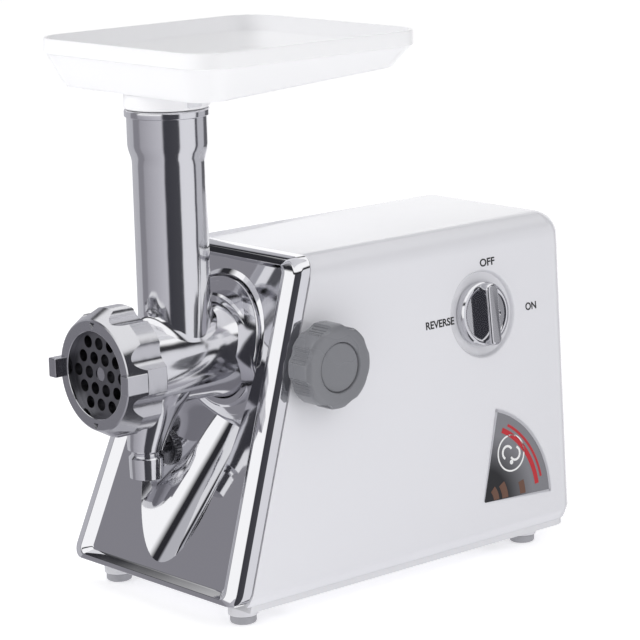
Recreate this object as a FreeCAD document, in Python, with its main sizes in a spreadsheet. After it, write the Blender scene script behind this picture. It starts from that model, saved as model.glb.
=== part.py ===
"""Electric meat grinder: tabletop motor unit, die-cast grinder head and hopper tray.

Millimetres. +Z is up and the table is z = 0. The meat leaves towards -Y, the dial and the
locking knob are on the +X side. The origin is the middle of the four feet.
"""
import FreeCAD, Part
import math
import os
import re
import Sketcher

Vector = FreeCAD.Vector
X_AXIS, Y_AXIS, Z_AXIS = Vector(1, 0, 0), Vector(0, 1, 0), Vector(0, 0, 1)

# ------------------------------------------------------------------ driving dimensions
SIZES = (
    # housing: four drafted walls between a lower and an upper rectangle
    ("base_z", 14.0, "lower edge of the housing"),
    ("top_z", 199.0, "highest face of the housing"),
    ("half_w_bottom", 77.3, "half the housing's width at base_z"),
    ("half_w_top", 58.7, "half the housing's width at top_z"),
    ("front_y_bottom", -130.6, "front face at base_z"),
    ("front_y_top", -61.3, "front face at top_z"),
    ("rear_y_bottom", 138.7, "rear face at base_z"),
    ("rear_y_top", 149.1, "rear face at top_z"),
    ("wall", 2.5, "moulded wall"),
    ("seam_depth", 9.6, "front frame, from its face back to the seam with the housing"),
    ("top_round", 14.8, "rounding of the upper edges and rear corners"),
    ("frame_round", 4.0, "rounding of the front frame"),
    ("frame_corner", 9.0, "rounding of the frame's two upper corners"),
    ("frame_width", 15.0, "front frame, side bars"),
    ("frame_foot", 7.0, "front frame, lower and upper bars"),
    ("panel_sink", 3.0, "front panel below its frame"),
    ("trough_half_w", 46.0, "half the width of the shallow trough in the top"),
    ("trough_depth", 2.0, "trough depth at its front end"),
    ("trough_length", 150.0, "trough, front to where it runs out"),
    # bowl channel in the front
    ("channel_z", 25.7, "lowest point of the channel on the front face"),
    ("channel_radius", 42.0, "channel, across its bottom"),
    ("channel_tilt", 40.0, "channel's lean from the vertical, degrees"),
    ("channel_back_y", -60.5, "upright wall where the channel ends"),
    # feet and base
    ("foot_x", 57.2, "feet, half the track"),
    ("foot_y", 110.1, "feet, half the wheelbase"),
    ("foot_radius", 7.5, "rubber foot"),
    ("foot_height", 5.0, "rubber foot"),
    ("boss_height", 5.0, "moulded boss above each foot"),
    ("plate_inset", 4.0, "base plate inside the housing's lower edge"),
    ("vent_length", 34.0, "base plate's vent slots"),
    ("vent_width", 4.0, "base plate's vent slots"),
    ("vent_x", 30.0, "vent slots' centres from the middle"),
    ("vent_y", 66.0, "front edge of the first vent slot"),
    ("vent_pitch", 8.0, "from one vent slot to the next"),
    ("pillar_thick", 4.0, "upright ribs that carry the motor"),
    ("base_screw_radius", 2.0, "screws that hold the base plate"),
    ("base_screw_length", 14.0, "screws that hold the base plate"),
    ("base_screw_step", 22.0, "base screws, inwards from the feet"),
    ("inlet_rise", 26.0, "cord inlet above the housing's lower edge"),
    ("inlet_radius", 9.0, "cord inlet's flanges"),
    ("inlet_neck", 6.9, "cord inlet where it passes the wall"),
    ("cord_bore", 3.5, "cord inlet's bore"),
    # hub and grinder head, on one horizontal axis
    ("axis_z", 141.0, "head, hub and output shaft"),
    ("hub_radius", 41.7, "round hub collar"),
    ("hub_step_y", -69.0, "front of the hub collar's wide part"),
    ("hub_nose_radius", 33.2, "hub collar's nose around the barrel"),
    ("hub_face_y", -77.5, "front face of the hub collar's nose"),
    ("hub_lip", 2.4, "thickness of the collar's upper lip"),
    ("hub_lip_proud", 1.5, "upper lip in front of the front face"),
    ("spigot_radius", 27.7, "rear spigot of the head"),
    ("spigot_y", -72.0, "front end of the spigot"),
    ("spigot_length", 18.0, "rear spigot of the head"),
    ("barrel_radius", 25.0, "barrel outside"),
    ("thread_radius", 29.5, "threaded mouth of the barrel"),
    ("thread_length", 16.0, "threaded mouth of the barrel"),
    ("mouth_y", -157.0, "front end of the barrel"),
    ("bore_radius", 22.3, "barrel bore"),
    ("bore_end_y", -91.0, "rear end of the barrel bore"),
    ("bore_wall", 10.0, "wall behind the bore, which carries the feed screw"),
    ("tube_y", -106.0, "feed tube's axis"),
    ("tube_radius", 20.7, "feed tube outside"),
    ("tube_bore", 18.5, "feed tube bore"),
    ("cup_radius", 22.9, "widened top of the feed tube"),
    ("cup_bore", 20.9, "widened top, inside"),
    ("cup_z", 262.0, "lower end of the cup"),
    ("cup_taper", 7.0, "cone between tube and cup"),
    ("rim_z", 283.5, "rim of the cup"),
    ("rim_band", 4.0, "bead at the rim"),
    ("rim_proud", 1.2, "bead at the rim"),
    ("post_y", -130.0, "post under the barrel"),
    ("post_radius", 10.5, "post at its groove"),
    ("post_root_radius", 17.5, "post where it leaves the barrel"),
    ("post_root_back", 8.5, "root's offset towards the flange"),
    ("post_groove_z", 91.0, "ring groove in the post"),
    ("post_groove", 2.0, "groove's height and depth"),
    ("post_end_z", 76.0, "lower end of the post"),
    ("post_screw_y", -116.5, "front of the post screw's head"),
    ("post_screw_radius", 10.5, "knurled head of the post screw"),
    ("post_screw_head", 5.0, "knurled head of the post screw"),
    ("post_screw_shank", 3.0, "radius of the post screw's shank"),
    ("post_screw_length", 11.0, "post screw's shank"),
    # screw, knife, plate, ring nut
    ("screw_clear", 0.5, "feed screw inside the barrel bore"),
    ("core_radius", 9.0, "feed screw's core"),
    ("flight_pitch", 20.0, "feed screw"),
    ("flight_thick", 4.0, "feed screw's flight at its edge"),
    ("shank_radius", 8.0, "feed screw's journal"),
    ("hex_radius", 7.5, "feed screw's drive hexagon, to its corners"),
    ("hex_length", 18.0, "feed screw's drive hexagon"),
    ("square_side", 8.0, "feed screw's square for the knife"),
    ("pin_radius", 3.95, "feed screw's nose pin"),
    ("knife_thick", 5.0, "cross knife"),
    ("knife_blade", 9.0, "cross knife, width of a blade"),
    ("disc_radius", 27.0, "cutting plate, 54 mm size"),
    ("disc_thick", 5.0, "cutting plate"),
    ("disc_hole", 3.5, "cutting plate, radius of each hole"),
    ("disc_pitch", 9.9, "cutting plate, hole to hole"),
    ("disc_face_y", -159.6, "front face of the cutting plate"),
    ("running_gap", 0.3, "gap between pieces that move past each other"),
    ("fit_gap", 0.05, "radial clearance of a running fit"),
    ("nut_opening", 24.5, "ring nut's opening"),
    ("nut_lip", 4.2, "ring nut's front lip"),
    ("nut_face_radius", 31.0, "ring nut's front face"),
    ("nut_radius", 36.5, "ring nut over its lobes"),
    ("nut_depth", 23.5, "ring nut, front to rear"),
    ("nut_flare", 10.0, "depth over which the nut widens"),
    ("scallop_radius", 11.0, "scallops between the lobes"),
    ("scallop_depth", 3.6, "scallops between the lobes"),
    ("lug_reach", 4.5, "lugs in front of the ring nut"),
    ("lug_width", 11.0, "lugs, along the rim"),
    ("lug_thick", 6.5, "lugs, towards the axis"),
    # hopper tray
    ("tray_half_w", 77.7, "half the tray's width"),
    ("tray_front_y", -142.4, "tray's front edge"),
    ("tray_rear_y", 20.2, "tray's rear edge"),
    ("tray_z", 320.7, "tray's rim"),
    ("tray_band", 8.5, "upright band at the rim"),
    ("tray_wall", 2.2, "tray's wall"),
    ("tray_corner", 14.0, "tray's corner radius"),
    ("floor_inset", 9.0, "tray's floor inside its rim"),
    ("floor_front_z", 292.0, "underside of the tray's floor at the front"),
    ("floor_rear_z", 301.0, "underside of the tray's floor at the rear"),
    ("spigot_reach", 11.0, "tray's spigot inside the cup"),
    # locking knob
    ("lock_y", -60.2, "locking knob's axis"),
    ("lock_z", 141.5, "locking knob's axis"),
    ("knob_face_x", 88.0, "face of the locking knob"),
    ("knob_thick", 18.0, "locking knob"),
    ("knob_radius", 24.0, "locking knob over its lobes"),
    ("knob_scallop", 9.0, "radius of the knob's scallops"),
    ("knob_scallop_depth", 2.4, "depth of the knob's scallops"),
    ("knob_cap_radius", 14.0, "round cap in the knob's face"),
    ("knob_cap_sink", 1.0, "cap below the knob's face"),
    ("stud_radius", 4.0, "locking stud"),
    ("knob_floor", 6.0, "knob's face to the end of the stud"),
    ("cap_thick", 2.0, "round cap in the knob's face"),
    ("washer_radius", 11.0, "washer behind the locking knob"),
    # rotary switch and dial
    ("dial_y", 73.2, "dial's centre"),
    ("dial_z", 147.6, "dial's centre"),
    ("dial_radius", 19.2, "dial"),
    ("dial_thick", 6.0, "dial's disc"),
    ("grip_height", 7.0, "dial's grip bar above the disc"),
    ("grip_width", 9.0, "dial's grip bar"),
    ("dish_radius", 26.0, "round dish around the dial"),
    ("dish_depth", 3.0, "round dish around the dial"),
    ("spindle_radius", 3.0, "switch spindle"),
    ("spindle_reach", 12.0, "switch spindle inside its switch"),
    ("switch_width", 30.0, "switch body along the wall"),
    ("switch_height", 26.0, "switch body up the wall"),
    ("switch_depth", 20.0, "switch body"),
    # badge
    ("badge_y", 60.9, "badge's corner"),
    ("badge_z", 36.9, "badge's corner"),
    ("badge_radius", 56.0, "badge, a quarter fan"),
    ("badge_sweep", 77.0, "badge, degrees"),
    ("badge_start", -3.8, "badge's lower edge, degrees from level"),
    ("badge_thick", 0.5, "badge"),
    # gearbox: distances along Y, centres in X and Z
    ("box_front_y", -50.0, "gearbox's front face"),
    ("box_rear_y", -8.0, "gearbox case's rear face"),
    ("box_wall", 3.0, "gearbox's wall"),
    ("gear_gap", 2.0, "between neighbouring gears"),
    ("motor_z", 75.0, "motor shaft"),
    ("first_z", 96.0, "first intermediate shaft"),
    ("axle_radius", 4.0, "intermediate axles"),
    ("output_width", 12.0, "output gear"),
    ("second_width", 9.0, "second gear"),
    ("first_width", 8.0, "first gear"),
    ("output_shaft_radius", 7.5, "output shaft"),
    ("socket_radius", 13.0, "drive socket at the front of the output shaft"),
    ("gear_room", 1.5, "around each gear inside its case"),
    ("cover_thick", 3.0, "gearbox cover"),
    ("case_screw_radius", 1.2, "gearbox screws"),
    ("case_screw_grip", 9.0, "gearbox screws inside the case"),
    ("case_screw_head", 1.5, "head of the gearbox screws"),
    ("bush_wall", 4.0, "output bushes"),
    ("leg_radius", 6.0, "legs of the gearbox case"),
    ("backlash", 0.25, "tooth play on the pitch circle"),
    # motor
    ("shaft_radius", 4.0, "motor shaft"),
    ("nose_radius", 2.4, "motor shaft inside its pinion"),
    ("bearing_radius", 8.0, "motor bearings"),
    ("stator_radius", 38.0, "stator laminations"),
    ("stator_bore", 22.5, "stator laminations"),
    ("stator_y", 15.0, "front of the stator"),
    ("stator_length", 40.0, "stator"),
    ("coil_overhang", 9.0, "field coils past the stator"),
    ("shell_thick", 3.0, "motor brackets' cups"),
    ("shell_lap", 3.0, "brackets' cups over the stator"),
    ("rotor_radius", 22.0, "rotor laminations"),
    ("commutator_y", 68.0, "front of the commutator"),
    ("commutator_length", 12.0, "commutator"),
    ("commutator_radius", 12.0, "commutator"),
    ("bracket_y", 84.0, "rear motor bracket"),
    ("bracket_depth", 8.0, "motor brackets"),
    ("fan_y", 97.0, "cooling fan"),
    ("fan_depth", 12.0, "cooling fan"),
    ("fan_radius", 33.0, "cooling fan"),
    ("fan_plate", 1.5, "cooling fan's back and blades"),
    ("bolt_radius", 2.0, "motor bolts"),
    ("pinion_seat", 14.0, "motor shaft in front of the gearbox's rear face"),
    ("brush_half", 3.0, "half a brush's width"),
    ("brush_wall", 3.0, "brush holder's side walls"),
    ("brush_rise", 14.0, "from the motor shaft to the brush holders"),
    ("brush_end", 30.0, "from the motor shaft to the brushes' outer ends"),
    ("bolt_x", 31.0, "motor bolts, half their spacing"),
)
TEETH = {"motor_pinion": 10, "first_gear": 60, "first_pinion": 12, "second_gear": 42,
         "second_pinion": 12, "output_gear": 36}
MODULE = {"motor_pinion": 1.0, "first_gear": 1.0, "first_pinion": 1.5, "second_gear": 1.5,
          "second_pinion": 1.75, "output_gear": 1.75}

doc = FreeCAD.newDocument("meat_grinder")
sizes = doc.addObject("Spreadsheet::Sheet", "sizes")
for row, (alias, value, note) in enumerate(SIZES, start=1):
    sizes.set(f"A{row}", alias)
    sizes.set(f"B{row}", str(value))
    sizes.set(f"C{row}", note)
    sizes.setAlias(f"B{row}", alias)
doc.recompute()
ALIASES = {alias for alias, _, _ in SIZES}
sub_parts = []


# ------------------------------------------------------------------ helpers
def text(expression):
    """An expression in which each alias is written as a cell of the sheet."""
    def qualify(word):
        return "sizes." + word[0] if word[0] in ALIASES else word[0]
    return re.sub(r"[A-Za-z_]\w*", qualify, str(expression))


def bind(thing, **expressions):
    for name, expression in expressions.items():
        thing.setExpression(name.replace("__", "."), text(expression))
    return thing


def place(thing, x=0, y=0, z=0, turn=None):
    if turn:
        thing.Placement = FreeCAD.Placement(Vector(), turn)
    return bind(thing, Placement__Base__x=x, Placement__Base__y=y, Placement__Base__z=z)


def keep(thing, label):
    """Marks a finished sub-part, which gets a file of its own."""
    thing.Label = label
    sub_parts.append(thing)
    return thing


TURNS = {"X": FreeCAD.Rotation(Y_AXIS, 90), "Y": FreeCAD.Rotation(X_AXIS, -90), "Z": None}


def cylinder(name, radius, length, x=0, y=0, z=0, axis="Z"):
    thing = bind(doc.addObject("Part::Cylinder", name), Radius=radius, Height=length)
    return place(thing, x, y, z, TURNS[axis])


def cone(name, radius1, radius2, length, x=0, y=0, z=0, axis="Z"):
    thing = bind(doc.addObject("Part::Cone", name), Radius1=radius1, Radius2=radius2, Height=length)
    return place(thing, x, y, z, TURNS[axis])


def box(name, x_range, y_range, z_range):
    """A block between two expressions along each axis."""
    thing = doc.addObject("Part::Box", name)
    spans = [f"({high}) - ({low})" for low, high in (x_range, y_range, z_range)]
    bind(thing, Length=spans[0], Width=spans[1], Height=spans[2])
    return place(thing, x_range[0], y_range[0], z_range[0])


def hexagon(name, radius, length, x=0, y=0, z=0):
    thing = bind(doc.addObject("Part::Prism", name), Circumradius=radius, Height=length)
    thing.Polygon = 6
    return place(thing, x, y, z, TURNS["Y"])


def fuse(name, *pieces):
    thing = doc.addObject("Part::MultiFuse", name)
    thing.Shapes = list(pieces)
    return thing


def cut(name, base, *tools):
    thing = doc.addObject("Part::Cut", name)
    thing.Base = base
    thing.Tool = tools[0] if len(tools) == 1 else group(name + "_tools", *tools)
    return thing


def common(name, one, other):
    thing = doc.addObject("Part::Common", name)
    thing.Base = one
    thing.Tool = other
    return thing


def group(name, *pieces):
    thing = doc.addObject("Part::Compound", name)
    thing.Links = list(pieces)
    return thing


def tube(name, radius, bore, length, x=0, y=0, z=0, axis="Y"):
    outer = cylinder(name + "_outer", radius, length, x, y, z, axis)
    return cut(name, outer, cylinder(name + "_bore", bore, length, x, y, z, axis))


def outline(body, name, role, corners, height=None, tilt=None):
    """A closed sketch whose corners are each tied to the sheet."""
    sketch = body.newObject("Sketcher::SketchObject", name)
    plane = [feature for feature in body.Origin.OriginFeatures if feature.Role == role][0]
    sketch.AttachmentSupport = [(plane, "")]
    sketch.MapMode = "FlatFace"
    if tilt is not None:
        sketch.AttachmentOffset = FreeCAD.Placement(Vector(), FreeCAD.Rotation(X_AXIS, tilt))
    if height is not None:
        bind(sketch, AttachmentOffset__Base__z=height)
    count = len(corners)
    steps = [2 * math.pi * i / count for i in range(count + 1)]
    ring = [Vector(10 * math.cos(a), 10 * math.sin(a), 0) for a in steps]
    for i in range(count):
        sketch.addGeometry(Part.LineSegment(ring[i], ring[i + 1]), False)
    for i in range(count):
        sketch.addConstraint(Sketcher.Constraint("Coincident", i, 2, (i + 1) % count, 1))
    for i, (across, up) in enumerate(corners):
        for kind, start, value in (("DistanceX", ring[i].x, across), ("DistanceY", ring[i].y, up)):
            index = sketch.addConstraint(Sketcher.Constraint(kind, -1, 1, i, 1, start))
            sketch.setExpression(f"Constraints[{index}]", text(value))
    return sketch


def new_body(name):
    return doc.addObject("PartDesign::Body", name)


def turned(name, corners, axis="Y", x=0, y=0, z=0):
    """A lathe part: corners are (radius, distance along the axis)."""
    body = new_body(name)
    role = "XZ_Plane" if axis == "Z" else "XY_Plane"
    if axis == "X":
        corners = [(along, radius) for radius, along in corners]
    sketch = outline(body, name + "_profile", role, corners)
    spin = body.newObject("PartDesign::Revolution", name + "_turning")
    spin.Profile = sketch
    spin.ReferenceAxis = (sketch, ["H_Axis" if axis == "X" else "V_Axis"])
    spin.Angle = 360
    return place(body, x, y, z)


def padded(name, role, corners, length, x=0, y=0, z=0):
    """A prism pushed out of its sketch: along +X from YZ_Plane, -Y from XZ_Plane, +Z from XY."""
    body = new_body(name)
    pad = body.newObject("PartDesign::Pad", name + "_pad")
    pad.Profile = outline(body, name + "_profile", role, corners)
    bind(pad, Length=length)
    return place(body, x, y, z)


def rounded(name, base, radius, pick):
    """Rounds the edges of base that pick() chooses, with a radius named in the sheet."""
    doc.recompute()
    thing = doc.addObject("Part::Fillet", name)
    thing.Base = base
    chosen = [i for i, edge in enumerate(base.Shape.Edges, start=1) if pick(edge)]
    thing.Edges = [(i, radius, radius) for i in chosen]
    return thing


def two_view_block(name, side_view, front_view):
    """A block with flat faces that fills both its side view (Y, Z) and its front view (X, Z)."""
    side = padded(name + "_side_view", "YZ_Plane", side_view, 400, -200)
    face = padded(name + "_front_view", "XZ_Plane", front_view, 800, 0, 400)
    return common(name, side, face)


def at_height(lower, upper, z):
    """A drafted wall's place at height z, as an expression."""
    return f"({lower} + ({upper} - {lower}) * (({z}) - base_z) / (top_z - base_z))"


def half_width(z, inset=0):
    return at_height("half_w_bottom", "half_w_top", z) + f" - ({inset})"


def front(z, behind=0):
    return at_height("front_y_bottom", "front_y_top", z) + f" + ({behind})"


def rear(z, inset=0):
    return at_height("rear_y_bottom", "rear_y_top", z) + f" - ({inset})"


def drafted_block(name, low_z, high_z, side=0, near=0, inset=0, depth=None):
    """A block that follows the housing's drafted walls, from low_z up to high_z.

    side and inset are measured in from the side and rear walls and near back from the
    front face; with a depth it ends that far behind its own front instead of at the rear.
    """
    def far(z):
        return rear(z, inset) if depth is None else front(z, f"{near} + {depth}")
    side_view = [(front(low_z, near), low_z), (far(low_z), low_z),
                 (far(high_z), high_z), (front(high_z, near), high_z)]
    low_w, high_w = half_width(low_z, side), half_width(high_z, side)
    front_view = [(f"-({low_w})", low_z), (low_w, low_z), (high_w, high_z), (f"-({high_w})", high_z)]
    return two_view_block(name, side_view, front_view)


def side_wall(y, z, depth=0.0, spin=0.0):
    """Placement on the +X wall: local Z is the wall's normal, local X points to +Y."""
    rise = sizes.top_z - sizes.base_z
    draft = math.atan2(sizes.half_w_bottom - sizes.half_w_top, rise)
    share = (z - sizes.base_z) / rise
    wall_x = sizes.half_w_bottom + (sizes.half_w_top - sizes.half_w_bottom) * share
    normal = Vector(math.cos(draft), 0, math.sin(draft))
    upward = Vector(-math.sin(draft), 0, math.cos(draft))
    turn = FreeCAD.Rotation(Y_AXIS, upward, normal, "ZXY")
    turn = turn.multiply(FreeCAD.Rotation(Z_AXIS, spin))
    return FreeCAD.Placement(Vector(wall_x, y, z) + normal * depth, turn)


def wall_disc(name, radius, low, high):
    """A disc on the dial's axis, between two depths from the side wall."""
    thing = bind(doc.addObject("Part::Cylinder", name), Radius=radius, Height=f"({high}) - ({low})")
    thing.Placement = side_wall(sizes.dial_y, sizes.dial_z, low)
    return thing


# ------------------------------------------------------------------ housing
def top_or_rear_edge(edge):
    """The upper long edges, the upper rear edge and the two upright rear edges."""
    middle = edge.CenterOfMass
    high = edge.BoundBox.ZMin > sizes.top_z - 8
    return (high or edge.BoundBox.ZLength > 100) and middle.y > 0


def make_housing_shell():
    outside = drafted_block("housing_block", "base_z", "top_z", 0, "seam_depth")
    outside = rounded("housing_outside", outside, sizes.top_round, top_or_rear_edge)
    core = drafted_block("core_block", "(base_z - wall)", "(top_z - wall)", "wall",
                         "seam_depth - wall", "wall")
    core = rounded("housing_core", core, sizes.top_round - sizes.wall, top_or_rear_edge)
    trough = doc.addObject("Part::Box", "top_trough")
    bind(trough, Length="2 * trough_half_w", Width="trough_length + wall", Height=20)
    tilt = math.degrees(math.atan2(sizes.trough_depth, sizes.trough_length))
    trough.Placement = FreeCAD.Placement(Vector(), FreeCAD.Rotation(X_AXIS, tilt))
    bind(trough, Placement__Base__x="-trough_half_w", Placement__Base__y=front("top_z", "0"),
         Placement__Base__z="top_z - trough_depth")
    pad = wall_disc("dish_pad", sizes.dish_radius + sizes.wall, -sizes.dish_depth - sizes.wall,
                    -sizes.wall / 2)
    dish = wall_disc("dish_hollow", "dish_radius", -sizes.dish_depth, 9)
    spindle = wall_disc("spindle_hole", sizes.spindle_radius + 1.5, -9, 1)
    shell = cut("housing_walls", outside, core)
    stud = cylinder("stud_hole", "stud_radius + running_gap", 30, "half_w_top - 10", "lock_y",
                    "lock_z", "X")
    inlet = cylinder("inlet_hole", "inlet_neck + fit_gap", "12 * wall", 0, "rear_y_bottom - 6 * wall",
                     "base_z + inlet_rise", "Y")
    return keep(cut("housing_shell", fuse("housing_with_pad", shell, pad), trough, dish,
                    spindle, stud, inlet), "housing_shell")


def upper_corner(edge):
    """The two short edges where the frame's sides meet its top."""
    return edge.BoundBox.ZMin > sizes.top_z - 1 and edge.BoundBox.YLength > edge.BoundBox.XLength


def front_edge(edge):
    """Edges that lie on the block's front face."""
    plane = at_front(edge.CenterOfMass.z)
    return abs(edge.CenterOfMass.y - plane) < 0.5


def at_front(z):
    share = (z - sizes.base_z) / (sizes.top_z - sizes.base_z)
    return sizes.front_y_bottom + (sizes.front_y_top - sizes.front_y_bottom) * share


def leaning_cylinder(name, radius):
    """The bowl channel: its lowest line starts on the front face and leans back."""
    thing = bind(doc.addObject("Part::Cylinder", name), Radius=radius, Height=180)
    tilt = math.radians(sizes.channel_tilt)
    along = Vector(0, math.sin(tilt), math.cos(tilt))
    lift = Vector(0, -math.cos(tilt), math.sin(tilt))
    start = Vector(0, at_front(sizes.channel_z), sizes.channel_z)
    base = start + lift * sizes.channel_radius - along * 40
    thing.Placement = FreeCAD.Placement(base, FreeCAD.Rotation(X_AXIS, -sizes.channel_tilt))
    return thing


def make_front_fascia():
    frame = drafted_block("fascia_block", "base_z", "top_z", 0, 0, 0, "seam_depth")
    frame = rounded("fascia_corners", frame, sizes.frame_corner, upper_corner)
    frame = rounded("fascia_frame", frame, sizes.frame_round, front_edge)
    hollow = drafted_block("fascia_hollow", "(base_z + wall)", "(top_z - wall)", "wall",
                           "panel_sink + wall", 0, "seam_depth")
    panel = drafted_block("panel_hollow", "(base_z + frame_foot)", "(top_z - frame_foot)",
                          "frame_width", -20, 0, "20 + panel_sink")
    behind = drafted_block("channel_limit", "(base_z + wall)", "(axis_z)", "wall", "panel_sink", 0, 90)
    stop = box("channel_stop", (-90, 90), (-140, "channel_back_y + wall"), (0, 200))
    outer = leaning_cylinder("channel_outside", "channel_radius + wall")
    wall = common("channel_wall", common("channel_clipped", outer, behind), stop)
    skin = fuse("fascia_with_channel", cut("fascia_skin", frame, hollow), wall)
    stop_inner = box("channel_stop_inner", (-90, 90), (-200, "channel_back_y"), (0, 200))
    inner = common("channel_inside", leaning_cylinder("channel_bore", "channel_radius"), stop_inner)
    hub = cylinder("hub_hole", "hub_radius + running_gap", 120, 0, -140, "axis_z", "Y")
    return keep(cut("front_fascia", skin, panel, inner, hub), "front_fascia")


def make_base_plate():
    z_low, z_high = "(foot_height + boss_height)", "(base_z + 6)"

    def upright_rear(edge):
        return edge.CenterOfMass.y > 0 and edge.BoundBox.ZLength > edge.Length / 2
    tray = drafted_block("base_block", z_low, z_high, "plate_inset", "seam_depth + plate_inset",
                         "plate_inset")
    tray = rounded("base_outside", tray, sizes.top_round - sizes.plate_inset + 1, upright_rear)
    hollow = drafted_block("base_hollow", "(foot_height + boss_height + wall)", "(base_z + 7)",
                           "plate_inset + wall", "seam_depth + plate_inset + wall",
                           "plate_inset + wall")
    hollow = rounded("base_inside", hollow, sizes.top_round - sizes.plate_inset - sizes.wall + 1,
                     upright_rear)
    bosses = [cylinder(f"foot_boss_{i}", "foot_radius + 1", "boss_height + wall",
                       f"{sx} * foot_x", f"{sy} * foot_y", "foot_height")
              for i, (sx, sy) in enumerate(((-1, -1), (1, -1), (-1, 1), (1, 1)), start=1)]
    pillars = [box(f"motor_cradle_{i}", ("-stator_radius * 0.7", "stator_radius * 0.7"),
                   (y, f"{y} + pillar_thick"), (z_low, "motor_z - stator_radius * 0.6"))
               for i, y in enumerate(("stator_y + pillar_thick",
                              "stator_y + stator_length - 2 * pillar_thick"), start=1)]
    saddle = cylinder("cradle_saddle", "stator_radius", "stator_length", 0, "stator_y", "motor_z", "Y")
    vents = []
    for row in range(4):
        near = f"vent_y + {row} * vent_pitch"
        for side in (-1, 1):
            vents.append(box(f"vent_{len(vents) + 1}",
                             (f"{side} * vent_x - vent_length / 2", f"{side} * vent_x + vent_length / 2"),
                             (near, f"{near} + vent_width"), (0, "base_z")))
    screws = [cylinder(f"base_screw_hole_{i}", "base_screw_radius + fit_gap", "base_z + wall",
                       f"{sx} * foot_x", f"{sy} * (foot_y - base_screw_step)", 0)
              for i, (sx, sy) in enumerate(((-1, -1), (1, -1), (-1, 1), (1, 1)), start=1)]
    solid = fuse("base_solid", cut("base_pan", tray, hollow), *bosses, *pillars)
    return keep(cut("base_plate", solid, saddle, *vents, *screws), "base_plate")


def make_side_badge():
    badge = bind(doc.addObject("Part::Cylinder", "side_badge"), Radius="badge_radius",
                 Height="badge_thick", Angle="badge_sweep")
    badge.Placement = side_wall(sizes.badge_y, sizes.badge_z, 0, sizes.badge_start)
    keep(badge, "side_badge")


def make_feet():
    corners = ((-1, -1), (1, -1), (-1, 1), (1, 1))
    feet = [cylinder(f"foot_{i}", "foot_radius", "foot_height", f"{sx} * foot_x", f"{sy} * foot_y", 0)
            for i, (sx, sy) in enumerate(corners, start=1)]
    keep(group("feet", *feet), "rubber_feet")
    screws = []
    for i, (sx, sy) in enumerate(corners, start=1):
        where = (f"{sx} * foot_x", f"{sy} * (foot_y - base_screw_step)")
        head = cylinder(f"base_screw_head_{i}", "2 * base_screw_radius", "1.5 * base_screw_radius", *where,
                        "foot_height + boss_height - 1.5 * base_screw_radius")
        shank = cylinder(f"base_screw_shank_{i}", "base_screw_radius", "base_screw_length", *where,
                         "foot_height + boss_height - 1")
        screws.append(fuse(f"base_screw_{i}", head, shank))
    keep(group("screws_under_base", *screws), "base_screws")


def make_cord_inlet():
    level = "base_z + inlet_rise"
    high, low = rear(f"{level} + inlet_radius"), rear(f"{level} - inlet_radius")
    inner, outer = f"({low} - wall - fit_gap)", f"({high} + fit_gap)"
    corners = [("cord_bore", f"{inner} - 2 * wall"), ("inlet_radius", f"{inner} - 2 * wall"),
               ("inlet_radius", inner), ("inlet_neck", inner), ("inlet_neck", outer),
               ("inlet_radius", outer), ("inlet_radius", f"{outer} + wall"),
               ("inlet_neck", f"{outer} + 2.5 * wall"), ("cord_bore", f"{outer} + 2.5 * wall")]
    keep(turned("cord_inlet", corners, "Y", 0, 0, level), "cord_inlet")


# ------------------------------------------------------------------ hub and grinder head
SPIGOT_END = "(spigot_y + spigot_length)"
DISC_REAR = "(disc_face_y + disc_thick)"
KNIFE_FRONT = f"({DISC_REAR} + running_gap)"
KNIFE_REAR = f"({KNIFE_FRONT} + knife_thick)"
NUT_FRONT = "(disc_face_y - nut_lip)"
SOCKET_FRONT = "(bore_end_y + bore_wall + 3)"


def make_hub_collar():
    bore = "(spigot_radius + running_gap)"
    corners = [(bore, "hub_face_y"), ("hub_nose_radius - 1.5", "hub_face_y"),
               ("hub_nose_radius", "hub_face_y + 1.5"), ("hub_nose_radius", "hub_step_y - 2"),
               ("hub_radius - hub_lip", "hub_step_y"), ("hub_radius", "hub_step_y"),
               ("hub_radius", "box_front_y"), (bore, "box_front_y")]
    ring = turned("hub_ring", corners, "Y", 0, 0, "axis_z")
    sleeve = tube("hub_sleeve", "hub_radius", "hub_radius - hub_lip", 50, 0, "hub_step_y - 49", "axis_z")
    behind = drafted_block("hub_limit", "axis_z", "top_z", 0, "-hub_lip_proud", 0, 40)
    stud = cylinder("hub_stud_hole", "stud_radius + running_gap", 40, 20, "lock_y", "lock_z", "X")
    collar = fuse("hub_with_lip", ring, common("hub_upper_lip", sleeve, behind))
    keep(cut("hub_collar", collar, stud), "hub_collar")


def leaning_post(name):
    """The post's upper part, which widens towards the flange where it meets the barrel."""
    body = new_body(name)
    rings = []
    for end, radius, y, z in (("foot", "post_radius", "post_y", "post_groove_z"),
                              ("root", "post_root_radius", "post_y + post_root_back",
                               "axis_z - barrel_radius / 2")):
        sketch = body.newObject("Sketcher::SketchObject", f"{name}_{end}")
        plane = [item for item in body.Origin.OriginFeatures if item.Role == "XY_Plane"][0]
        sketch.AttachmentSupport = [(plane, "")]
        sketch.MapMode = "FlatFace"
        bind(sketch, AttachmentOffset__Base__z=z)
        sketch.addGeometry(Part.Circle(Vector(0, -10, 0), Z_AXIS, 10), False)
        for constraint, value in ((("DistanceX", -1, 1, 0, 3, 0), 0),
                                  (("DistanceY", -1, 1, 0, 3, -10), y), (("Radius", 0, 10), radius)):
            index = sketch.addConstraint(Sketcher.Constraint(*constraint))
            sketch.setExpression(f"Constraints[{index}]", text(value))
        rings.append(sketch)
    post = body.newObject("PartDesign::AdditiveLoft", name + "_loft")
    post.Profile = rings[0]
    post.Sections = rings[1:]
    return body


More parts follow.
